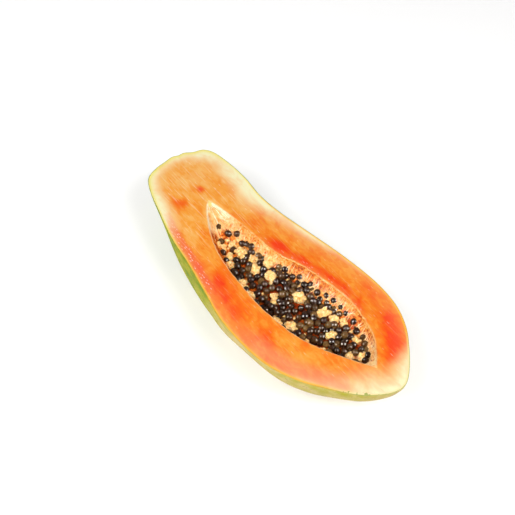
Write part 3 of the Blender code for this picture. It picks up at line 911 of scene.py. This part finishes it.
lining = Finish("pith_lining", soft=(0.15, 3.0, 1.4, 0.7), **MOIST)
woolly = lining.spots(1.6, 4.0, 0.65, stretch=(1, 1, 0.5))
broad = lining.spots(7, 2.0, 0.5)
by_the_rim = lining.part(lining.number("down"), 0.0, 7.0, 0.14, 0.0)
pale = lining.plus(woolly, lining.swing(broad, -0.1, 0.1), by_the_rim)
lining.relief((woolly, 0.35), (broad, 0.4))
lining.colour = lining.ramp(pale, LINING_COLOURS)
lining.paint(lining.swing(woolly, 0.5, 0.32))

# %% [markdown]
# ## The fruit itself
#
# Points, faces and finishes are ready, so the fruit can be made. It stands in for the half papaya
# of the packed solids.

# %% The fruit
body = add_piece(
    "papaya_body", body_points, skin_faces + ring_faces + wall_faces,
    [waxy, flesh, lining], body_finish, body_numbers,
)
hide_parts("papaya_half")

# %% [markdown]
# ## Where the pith lies
#
# The solids already have the seeds in place, thrown at random by a rule and kept where they fit.
# The same rule, with the same first number for the random draws, gives the same places here. It
# needs to know the hollow first: how wide it is at a place, and how high the pith lies there. The
# pith's top is a soft slope that rises to the far wall.

# %% The hollow and its pith
BED_LEVEL = [8.0, 10.3, 11.6, 11.9, 11.9, 11.9, 11.6]
BED_TILT = 2.5
BED_WAVE, WAVE_ALONG, WAVE_ACROSS, WAVE_BEND = 0.4, 4.1, 3.7, 5.3
# A ball is pushed off the wall twice, since the pith's height changes as it moves.
WALL_GAP, PUSHES = 0.6, 2
RIM_ROWS = 40

near_line = [Vector(p) for p in even_points(NEAR_RIM, RIM_ROWS + 1)]
far_line = [Vector(p) for p in even_points(FAR_RIM, RIM_ROWS + 1)]


def cavity_span(x):
    """The rim's two sides and the share of the way along the hollow, at a place."""
    sides = []
    for curve in (near_line, far_line):
        k = min(range(len(curve) - 1), key=lambda n: abs((curve[n].x + curve[n + 1].x) / 2 - x))
        t = (x - curve[k].x) / (curve[k + 1].x - curve[k].x)
        sides.append((curve[k].lerp(curve[k + 1], t).y, (k + t) / (len(curve) - 1)))
    (low, a), (high, b) = sides
    return low, high, (a + b) / 2


def bed_top(x, y, low, high, share):
    """Height of the pith at a place, higher toward the far side, with soft waves."""
    wave = math.sin(x / WAVE_ALONG + math.sin(y / WAVE_BEND)) * math.sin(y / WAVE_ACROSS)
    across = (2 * y - low - high) / (high - low)
    return BED_WAVE * wave + BED_TILT * across - float(between(BED_LEVEL, share))


def lay_down(x, y, stand, radius):
    """Sets a ball on the pith, moved off the wall where it's too close, if it has room."""
    low, high, share = cavity_span(x)
    middle, half = (low + high) / 2, (high - low) / 2 - radius - WALL_GAP
    deep = float(between(CAVITY_DEPTH, share)) - radius - WALL_GAP
    for _ in range(PUSHES):
        z = bed_top(x, y, low, high, share) + stand
        under = abs(z - stand)
        room = 0.0
        if half > 0 and deep > under:
            room = half * (1 - (under / deep) ** CAVITY_SQUARENESS) ** (1 / CAVITY_SQUARENESS)
        y = min(max(y, middle - room), middle + room)
    return Vector((x, y, z)) if room > 0 else None


print("pith lies", min(BED_LEVEL), "to", max(BED_LEVEL), "mm below the cut face")

# %% [markdown]
# ## Throwing the seeds
#
# Laying some two hundred seeds by hand would take long and look laid. So each is thrown at a random
# place and kept if it has room. A seed that would touch the wall moves in. The lumps are listed one
# by one, so the seeds keep clear of those. Toward the stem the seeds lie further apart.

# %% Throwing the seeds
LUMPS = [
    (-46.0, -22.0, 2.6), (-41.0, -12.0, 2.2), (-33.0, -20.0, 2.6), (-31.0, -11.5, 3.6),
    (-27.0, -25.5, 2.6), (-20.0, -8.0, 3.2), (-12.0, -12.0, 3.4), (-10.0, -1.0, 4.4),
    (-8.0, -27.0, 2.6), (0.0, -7.0, 3.4), (3.0, -29.0, 3.0), (15.0, -16.0, 2.8),
    (27.0, -2.0, 4.2), (33.0, -28.5, 3.2), (42.0, -22.0, 3.4), (48.0, 3.0, 4.0),
    (57.0, 6.0, 2.8), (60.0, -24.5, 3.0), (63.0, 10.0, 2.8), (66.0, -4.0, 3.2),
    (71.0, -17.0, 2.8), (80.0, 7.5, 2.4), (86.0, -4.0, 2.6), (92.0, 2.0, 2.6),
]
LUMP_STAND, LUMP_SHARE = 0.35, 0.75
SEED_RADIUS, SEED_LENGTH_SHARE, SEED_STAND = 2.6, 1.15, 0.9
SEED_SPAN, SEED_TRIES, SEED_SPACING = (-62.0, 101.0), 6000, 4.8
SPARSE_SPACING, SPARSE_BEFORE, SPARSE_FADE = 8.0, -34.0, 20.0
RANDOM_SEED = 11


def thrown(rng, tries, start, across=1.0, stand=SEED_STAND):
    """Random places on the pith, each with room for a seed and clear of the lumps."""
    for _ in range(tries):
        x = rng.uniform(start, SEED_SPAN[1])
        low, high, _ = cavity_span(x)
        y = low + (high - low) * rng.uniform(0.0, across)
        place = lay_down(x, y, stand, SEED_RADIUS * SEED_LENGTH_SHARE)
        if place and all(
            math.hypot(x - a, place.y - b) >= radius + SEED_RADIUS * LUMP_SHARE
            for a, b, radius in LUMPS
        ):
            yield place


def lower_seeds(rng):
    """Seeds thrown on the pith one by one, each kept if it lies clear of those before."""
    seeds = []
    for place in thrown(rng, SEED_TRIES, SEED_SPAN[0]):
        sparse = max(0.0, min(1.0, (SPARSE_BEFORE - place.x) / SPARSE_FADE))
        spacing = SEED_SPACING + (SPARSE_SPACING - SEED_SPACING) * sparse
        if all((place.xy - s.xy).length > spacing for s in seeds):
            seeds.append(place)
    return seeds


print(len(LUMPS), "lumps, seeds thrown from", SEED_SPAN[0], "to", SEED_SPAN[1], "mm along")

# %% [markdown]
# ## A heap two or three deep
#
# Some seeds rest on top of the others, each only where two or more hold it. More are tucked half
# hidden into the gaps below. Letting the seeds fall in a physics run would heap them as well, but a
# rule gives the same heap every time and in a moment.

# %% The seeds' places
UPPER_TRIES, UPPER_SPACING, UPPER_SINK, UPPER_ACROSS = 2600, 4.9, 1.1, 0.75
HOLD_REACH = (3.6, 4.9)
TUCKED_TRIES, TUCKED_STAND, TUCKED_SPACING = 3000, -1.1, 4.3


def upper_seeds(rng, lower):
    """Seeds thrown on top of the lower ones, each kept where two or more of those hold it."""
    seeds = []
    for place in thrown(rng, UPPER_TRIES, SPARSE_BEFORE, UPPER_ACROSS):
        gaps = [(place.xy - s.xy).length for s in lower]
        held = [(s.z, gap) for s, gap in zip(lower, gaps) if gap < HOLD_REACH[1]]
        if len(held) < 2 or min(gaps) < HOLD_REACH[0]:
            continue
        if any((place.xy - s.xy).length < UPPER_SPACING for s in seeds):
            continue
        place.z = max(z + math.sqrt((2 * SEED_RADIUS) ** 2 - gap**2) for z, gap in held)
        place.z -= UPPER_SINK
        seeds.append(place)
    return seeds


def tucked_seeds(rng, above):
    """Seeds half hidden in the gaps between those that lie on the pith."""
    seeds = []
    for place in thrown(rng, TUCKED_TRIES, SPARSE_BEFORE, stand=TUCKED_STAND):
        if all((place - s).length > TUCKED_SPACING for s in above + seeds):
            seeds.append(place)
    return seeds


def random_turn(rng):
    """Any direction in space."""
    spin = Matrix.Rotation(rng.uniform(0, 2 * math.pi), 3, "Z")
    lean = Matrix.Rotation(rng.uniform(0, math.pi), 3, "X")
    return spin @ lean


rng = random.Random(RANDOM_SEED)
# The solids' rule turns the lumps first. Its draws are made here too, so that the rest agree.
for _ in LUMPS:
    random_turn(rng)
lower = lower_seeds(rng)
seed_places = lower + upper_seeds(rng, lower)
seed_places += tucked_seeds(random.Random(RANDOM_SEED + 2), seed_places)
seed_turns = [random_turn(rng) for _ in seed_places]
lump_places = [lay_down(x, y, LUMP_STAND * r, r) for x, y, r in LUMPS]
print(len(lower), "lower seeds,", len(seed_places) - len(lower), "others,", len(LUMPS), "lumps")

# %% [markdown]
# ## The pith under the seeds
#
# The floor of pith is one closed sheet, four millimetres thick, that runs into the wall on all
# sides. Its top is raised by formula: soft bumps of two sizes, a dip where the seeds have pressed
# it down, and a bank up the far wall that no seed covers. It reaches further into the stem end than
# the seeds do, where the pale tip shows.

# %% The pith floor
PITH_ROWS, PITH_STEPS, PITH_THICK = 220, 46, 4.0
PITH_SPAN = (0.015, 0.985)
TIP_LEVEL = [1.5, 3.4, 5.6, 7.4, 8.8]
END_LEVEL = [11.6, 8.6, 5.0, 2.6, 1.4]
TIP_SHARE, END_SHARE = 0.16, 0.91
PITH_SINK, PITH_LEAST_DROP, PITH_OVERLAP = 1.7, 0.5, 0.02
# Banks up the two walls, as shares of the pith's depth, and where the stem end's bank ends.
NEAR_BANK, STEM_BANK, FAR_BANK = 0.3, 0.5, 0.9
STEM_BANK_END, STEM_BANK_FADE = 0.4, 0.15
BANK_SHARPNESS, STEM_SOFTNESS = 6, 3
# Length of the pith's waves and their height, for both sizes.
PITH_BUMPS = ((6.0, 0.7), (2.2, 0.5))
LEAST_UNDER = 0.5

pith_share = np.linspace(*PITH_SPAN, PITH_ROWS + 1)[:, None]
pith_across = np.linspace(-1.0, 1.0, PITH_STEPS + 1)[None, :]


def pith_level(share):
    """How far the pith lies below the cut face along the hollow, shallow at both tips."""
    inside = between(BED_LEVEL, share)
    tip = between(TIP_LEVEL, share / TIP_SHARE)
    end = between(END_LEVEL, (share - END_SHARE) / (1 - END_SHARE))
    return np.where(share < TIP_SHARE, tip, np.where(share > END_SHARE, end, inside))


def pith_sheet(share, t):
    """Top points of the pith at shares along the hollow, and across it from -1 to 1."""
    along = np.linspace(0.0, 1.0, ROWS + 1)
    near, far = (
        np.column_stack([np.interp(share[:, 0], along, side[:, k]) for k in (0, 1)])
        for side in (near_rim, far_rim)
    )
    level = pith_level(share) - BED_TILT * t * np.minimum(share / TIP_SHARE, 1)
    middle, reach = (near + far)[:, None] / 2, (far - near)[:, None] / 2
    flat = np.dstack([middle + reach * t[..., None], 0 * level]).reshape(-1, 3)
    bumps = sum(soft_noise(flat, length).reshape(level.shape) * rise for length, rise in PITH_BUMPS)
    stem = np.clip((STEM_BANK_END - share) / STEM_BANK_FADE, 0, 1)
    sharpness = BANK_SHARPNESS - STEM_SOFTNESS * stem
    near_bank = (NEAR_BANK + STEM_BANK * stem) * np.clip(-t, 0, 1) ** sharpness
    bank = level * (near_bank + FAR_BANK * np.clip(2 * t - 1, 0, 1) ** 2)
    seeded = np.clip((share - TIP_SHARE) / TIP_SHARE, 0, 1)
    z = -level + bumps + bank - PITH_SINK * seeded * (1 - t**4)
    z = np.minimum(z, -PITH_LEAST_DROP)
    deep = np.maximum(between(CAVITY_DEPTH, share), LEAST_UNDER - z)
    wide = (1 - (-z / deep) ** CAVITY_SQUARENESS) ** (1 / CAVITY_SQUARENESS) + PITH_OVERLAP
    return np.dstack([middle + reach * (t * wide)[..., None], z])


pith_top = pith_sheet(pith_share, pith_across)
pith_under = pith_top - (0.0, 0.0, PITH_THICK)
rows, columns = pith_top.shape[:2]
over = np.arange(rows * columns).reshape(rows, columns)
under = over + over.size
pith_faces = []
for i in range(rows - 1):
    pith_faces += strip(over[i], over[i + 1]) + strip(under[i + 1], under[i])
for edge in (over[0, ::-1], over[-1], over[:, 0], over[::-1, -1]):
    pith_faces += strip(edge, edge + over.size)
print("pith floor:", rows, "by", columns)

# %% [markdown]
# ## Where the pith is bare
#
# Seeds cover most of the pith, and down between them it is painted dark: its own orange with
# painted shade for the seeds' shadow. It is pale where none lie: at both tips, on the banks up the
# walls, and a little along the stem's half. One number at each point says how bare it is, and the
# finish reads it.

# %% Bare pith
# Each where it starts and how far it takes to hold in full: shares along the hollow, then across.
BARE_STEM, BARE_BLOSSOM = (-0.14, 0.08), (0.93, 0.04)
BARE_FAR_BANK, BARE_NEAR_BANK, BANK_AMOUNT = (0.55, 0.35), (0.85, 0.1), 0.38
STEM_HALF, STEM_HALF_AMOUNT = (-0.45, 0.2), 0.24
BARE_SHIFT, PAINTED_SHADE_SHIFT = 0.42, 0.1


def past(value, start, length):
    """From 0 to 1, how far a value is past a limit. Both are negative for a limit from above."""
    return np.clip((value - start) / length, 0, 1)


bare = past(-pith_share, *BARE_STEM) + past(pith_share, *BARE_BLOSSOM)
bare = bare + BANK_AMOUNT * (past(pith_across, *BARE_FAR_BANK) + past(-pith_across, *BARE_NEAR_BANK))
bare = np.minimum(bare + STEM_HALF_AMOUNT * past(-pith_share, *STEM_HALF), 1.0)
# Covered pith is shifted down into the ramp's dark stops: painted shade between the seeds.
bare = BARE_SHIFT * bare - PAINTED_SHADE_SHIFT * (1 - bare)
print("bare shift from", round(float(bare.min()), 2), "to", round(float(bare.max()), 2))

# %% [markdown]
# ## Seeds
#
# A seed is a slightly long ball in a smooth wet skin, so it is bent out of round only a little. Each
# ball carries its own number, so that no two seeds need have quite the same brown.

# %% Balls
FINENESS = 3
SEED_SIZES, SEED_BEND, SEED_BEND_LENGTH = (0.93, 1.04), 0.05, 1.3
# Each ball reads the noise this far from the one before, and takes the next number of an even spread.
NOISE_SHIFT, NUMBER_STEP = 7.3, 0.618


def ball(level):
    """Points and faces of a ball of the given fineness."""
    work = bmesh.new()
    bmesh.ops.create_icosphere(work, subdivisions=level, radius=1.0)
    points = np.array([v.co[:] for v in work.verts])
    faces = [[v.index for v in f.verts] for f in work.faces]
    work.free()
    return points, faces


def cluster(places, radii, turns, stretch, bend, length):
    """Many balls as one set of points and faces, each bent out of round in its own way."""
    shape, shape_faces = ball(FINENESS)
    points, faces = [], []
    for k, (place, radius, turn) in enumerate(zip(places, radii, turns)):
        bent = soft_noise(shape + NOISE_SHIFT * k, length)
        own = shape * (1 + bend * bent)[:, None] * (1.0, 1.0, stretch) * radius
        faces += [[v + k * len(shape) for v in f] for f in shape_faces]
        points.append(own @ np.array(turn).T + np.array(place))
    return np.vstack(points), faces


more = random.Random(RANDOM_SEED + 1)
seed_radii = [SEED_RADIUS * more.uniform(*SEED_SIZES) for _ in seed_places]
seed_points, seed_faces = cluster(
    seed_places, seed_radii, seed_turns, SEED_LENGTH_SHARE, SEED_BEND, SEED_BEND_LENGTH
)
seed_numbers = np.repeat(
    [(k * NUMBER_STEP) % 1.0 for k in range(len(seed_places))], len(seed_points) // len(seed_places)
)
print("seeds:", len(seed_places), "of", len(seed_faces) // len(seed_places), "faces each")

# %% [markdown]
# ## Knots and crumbs
#
# A knot of pith is torn, never round: one ball in the middle with smaller ones pressed into its
# sides, all bent hard. Crumbs are the same thing on a smaller scale. They lie where a seed doesn't,
# most of them along the two walls.

# %% Knots and crumbs
KNOT_BALLS, KNOT_SWELL, KNOT_SWING, KNOT_RISE = 4, 1.05, 0.4, (-0.1, 0.45)
KNOT_REACH, KNOT_SIZES = (0.6, 0.95), (0.4, 0.65)
KNOT_STRETCH, KNOT_BEND, KNOT_BEND_LENGTH = 0.7, 0.62, 0.85
CRUMB_TRIES, CRUMB_SIZES, CRUMB_GAP = 1300, (0.8, 2.1), 1.8
CRUMB_SPAN, CRUMB_STAND, SEED_CLEARANCE = (-66.0, 104.0), (-0.6, 0.8), 0.6
# The share of crumbs that lie by a wall, and how far in those may lie on either side.
WALL_SHARE, BY_NEAR_WALL, BY_FAR_WALL = 0.45, (0.0, 0.12), (0.85, 1.0)


def knots(rng):
    """The balls that make up the lumps, as places and radii."""
    balls = []
    for place, (*_, radius) in zip(lump_places, LUMPS):
        balls.append((place, radius * KNOT_SWELL))
        start = rng.uniform(0.0, 2 * math.pi)
        for k in range(KNOT_BALLS):
            angle = start + 2 * math.pi * k / KNOT_BALLS + rng.uniform(-KNOT_SWING, KNOT_SWING)
            side = Vector((math.cos(angle), math.sin(angle), rng.uniform(*KNOT_RISE)))
            centre = place + side * radius * rng.uniform(*KNOT_REACH)
            balls.append((centre, radius * rng.uniform(*KNOT_SIZES)))
    return balls


def crumbs(rng):
    """Small balls on the pith, clear of the seeds and of each other."""
    balls = []
    for _ in range(CRUMB_TRIES):
        x, radius = rng.uniform(*CRUMB_SPAN), rng.uniform(*CRUMB_SIZES)
        low, high, _ = cavity_span(x)
        across = rng.uniform(0.0, 1.0)
        if rng.random() < WALL_SHARE:
            across = rng.choice([rng.uniform(*BY_NEAR_WALL), rng.uniform(*BY_FAR_WALL)])
        place = lay_down(x, low + (high - low) * across, rng.uniform(*CRUMB_STAND), radius)
        clear = SEED_RADIUS + radius * SEED_CLEARANCE
        if place is None or any((place - s).length < clear for s in seed_places):
            continue
        if all((place - b).length > CRUMB_GAP for b, _ in balls):
            balls.append((place, radius))
    return balls


knot_balls = knots(more) + crumbs(more)
knot_turns = [random_turn(more) for _ in knot_balls]
lump_points, lump_faces = cluster(
    *zip(*knot_balls), knot_turns, KNOT_STRETCH, KNOT_BEND, KNOT_BEND_LENGTH
)
print("lumps and crumbs:", len(knot_balls), "balls")

# %% [markdown]
# ## Threads of pith
#
# Pith is stringy. Fine threads hang down the far bank toward the seeds, and longer ones fan out from
# the stem's tip. Each follows the pith floor's own grid, a hair above it, so that it lies on the
# surface whatever the bumps do.

# %% Threads
THREAD_SIDES, THREAD_POINTS, THREAD_END = 5, 12, 0.25
THREAD_LIFT, THREAD_RADIUS, THREAD_BEND = (0.1, 0.6), (0.18, 0.34), (-2, 2)
# Starts and ends as shares of the pith's grid, and how many of its rows or columns they lean by.
BANK_THREADS, BANK_SPAN, BANK_LEAN = 170, (0.1, 0.95), (-9, 9)
BANK_START, BANK_END = (0.9, 0.99), (0.7, 0.86)
TIP_THREADS, TIP_SPAN, TIP_LEAN = 34, (0.08, 0.92), (-2, 2)
TIP_START, TIP_END = (0.005, 0.03), (0.08, 0.19)


def on_pith(row, column):
    """A point of the pith's top at any place on its grid."""
    i, j = int(min(row, rows - 2)), int(min(column, columns - 2))
    a, b = row - i, column - j
    first = (1 - b) * pith_top[i, j] + b * pith_top[i, j + 1]
    second = (1 - b) * pith_top[i + 1, j] + b * pith_top[i + 1, j + 1]
    return (1 - a) * first + a * second


def thread(start, end, lift, radius, bend):
    """Points and faces of a thin thread between two places on the pith's grid."""
    share = np.linspace(0.0, 1.0, THREAD_POINTS)
    cells = [np.array(start) * (1 - s) + np.array(end) * s for s in share]
    line = np.array([on_pith(c[0] + bend * math.sin(3 * s), c[1]) for c, s in zip(cells, share)])
    line[:, 2] += lift * np.sin(math.pi * share)
    way = np.gradient(line, axis=0)
    way /= np.linalg.norm(way, axis=1)[:, None]
    side = np.cross(way, (0.0, 0.0, 1.0))
    side /= np.linalg.norm(side, axis=1)[:, None]
    up = np.cross(side, way)
    turn = np.arange(THREAD_SIDES) * 2 * math.pi / THREAD_SIDES
    thick = radius * (THREAD_END + np.sin(math.pi * share) ** 0.5)[:, None, None]
    rings = side[:, None] * np.cos(turn)[None, :, None] + up[:, None] * np.sin(turn)[None, :, None]
    points = (line[:, None] + thick * rings).reshape(-1, 3)
    loops = np.arange(len(points)).reshape(THREAD_POINTS, THREAD_SIDES)
    closed = np.column_stack([loops, loops[:, 0]])
    faces = sum((strip(upper, lower) for upper, lower in zip(closed, closed[1:])), [])
    return points, faces + [loops[0, ::-1].tolist(), loops[-1].tolist()]


def thread_set(rng):
    """All the threads as one set of points and faces."""
    spans = []
    last_row, last_column = rows - 1, columns - 1
    for _ in range(BANK_THREADS):
        row = rng.uniform(*BANK_SPAN) * last_row
        end_row = min(max(row + rng.uniform(*BANK_LEAN), 0), last_row)
        end = (end_row, rng.uniform(*BANK_END) * last_column)
        spans.append(((row, rng.uniform(*BANK_START) * last_column), end))
    for _ in range(TIP_THREADS):
        column = rng.uniform(*TIP_SPAN) * last_column
        end = (rng.uniform(*TIP_END) * last_row, column + rng.uniform(*TIP_LEAN))
        spans.append(((rng.uniform(*TIP_START) * last_row, column), end))
    points, faces = [], []
    for start, end in spans:
        amounts = [rng.uniform(*limits) for limits in (THREAD_LIFT, THREAD_RADIUS, THREAD_BEND)]
        own_points, own_faces = thread(start, end, *amounts)
        shift = len(points) * len(own_points)
        points.append(own_points)
        faces += [[v + shift for v in f] for f in own_faces]
    return np.vstack(points), faces


thread_points, thread_faces = thread_set(more)
print("threads:", BANK_THREADS + TIP_THREADS)

# %% [markdown]
# ## The finish of the seeds
#
# A fresh seed is a ridged dark core inside a clear wet sack. The coat stands for the sack: it is
# smooth and bright, while the base under it is brown-black, rough and ridged.

# %% Seeds
SEED_COLOURS = [(0.0, "1a0a03"), (0.6, "30180a"), (0.86, "523617"), (1.0, "70522a")]

seed_finish = Finish(
    "wet_seed", soft=(0.25, 1.2, 0.5, 0.2), Specular_IOR_Level=0.0, Coat_Weight=1.0,
    Coat_Roughness=0.03, Coat_IOR=1.35,
)
ridges = seed_finish.spots(0.9, 2.0, 0.5)
tone = seed_finish.plus(seed_finish.number("own"), seed_finish.swing(ridges, -0.1, 0.1))
seed_finish.relief((ridges, 0.12))
seed_finish.colour = seed_finish.ramp(tone, SEED_COLOURS)
seed_finish.paint(seed_finish.swing(ridges, 0.6, 0.45))

# %% [markdown]
# ## The finish of the pith
#
# Pith is woolly and moist. It goes from painted shade, dark red-brown down between the seeds,
# through its own orange, to cream where it is bare.
# It is nearly white at the stem's point and a warm cream at the blossom's.

# %% Pith
# The darkest stops are painted shade, for the shadow down between the seeds.
PITH_COLOURS = [
    (0.25, "5c1403"), (0.43, "b23c08"), (0.58, "de7c22"), (0.74, "eaaa56"), (0.92, "f2d298"),
]
STEM_POINT_SHADE, BLOSSOM_POINT_SHADE = "f6e8c8", "ffd69a"

pith_finish = Finish("moist_pith", soft=(0.15, 3.0, 1.6, 0.8), **MOIST)
woolly = pith_finish.spots(1.6, 4.0, 0.6)
broad = pith_finish.spots(9, 2.0, 0.5)
pale = pith_finish.plus(
    woolly, pith_finish.swing(broad, -0.1, 0.1), pith_finish.number("bare")
)
pith_finish.colour = pith_finish.ramp(pale, PITH_COLOURS)
stem_point = pith_finish.zone(
    (pith_finish.along, -0.052, -0.065, 0.0, 0.95), (woolly, 0.36, 0.56, 0.5, 1.0)
)
pith_finish.lay(stem_point, STEM_POINT_SHADE)
blossom_point = pith_finish.zone(
    (pith_finish.along, 0.084, 0.094, 0.0, 0.8), (woolly, 0.4, 0.52, 0.35, 1.0)
)
pith_finish.lay(blossom_point, BLOSSOM_POINT_SHADE)
pith_finish.relief((woolly, 0.4))
pith_finish.paint(pith_finish.swing(woolly, 0.5, 0.35))

# %% [markdown]
# ## The finish of knots and threads
#
# Knots are the same pith, torn open and paler, with orange left in their dents. The threads are too
# thin for any relief: a change of shade along them is enough.

# %% Knots and threads
KNOT_COLOURS = [(0.3, "ee9a3e"), (0.46, "f4be72"), (0.68, "f8dca6")]
THREAD_COLOURS = [(0.35, "e4a152"), (0.55, "eec080"), (0.75, "f4e0b8")]

knot_finish = Finish("pale_lump", soft=(0.2, 3.0, 1.8, 0.9), **MOIST)
woolly = knot_finish.spots(1.3, 3.0, 0.6)
knot_finish.relief((woolly, 0.3))
knot_finish.colour = knot_finish.ramp(woolly, KNOT_COLOURS)
knot_finish.paint(knot_finish.swing(woolly, 0.5, 0.35))
thread_finish = Finish(
    "pith_thread", Roughness=0.4, Specular_IOR_Level=0.1, Coat_Weight=0.05, Coat_Roughness=0.2,
)
thread_finish.colour = thread_finish.ramp(thread_finish.spots(4.0), THREAD_COLOURS)
thread_finish.paint()

# %% [markdown]
# ## What lies in the hollow
#
# Pith, knots, seeds and threads come out of a papaya together on one spoon, so the solids have them
# as one seed bed. All four meshes stand in for it.

# %% The seed bed
pith = add_piece(
    "pith_floor", np.vstack([pith_top.reshape(-1, 3), pith_under.reshape(-1, 3)]), pith_faces,
    [pith_finish], numbers={"bare": np.tile(bare.ravel(), 2)},
)
lumps = add_piece("pale_lumps", lump_points, lump_faces, [knot_finish])
seeds = add_piece("seeds", seed_points, seed_faces, [seed_finish], numbers={"own": seed_numbers})
strings = add_piece("pith_threads", thread_points, thread_faces, [thread_finish])
for piece in (pith, lumps, seeds, strings):
    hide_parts("seed_bed")

# %% [markdown]
# ## Measuring up
#
# The finished meshes are measured beside the solids. The two boxes should agree, with the meshes a
# hair inside.

# %% The end
size = {
    "solid_box": solid_box,
    "visual_box": [list(corner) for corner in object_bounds()],
}
print("solid box", solid_box, "visual box", size["visual_box"])
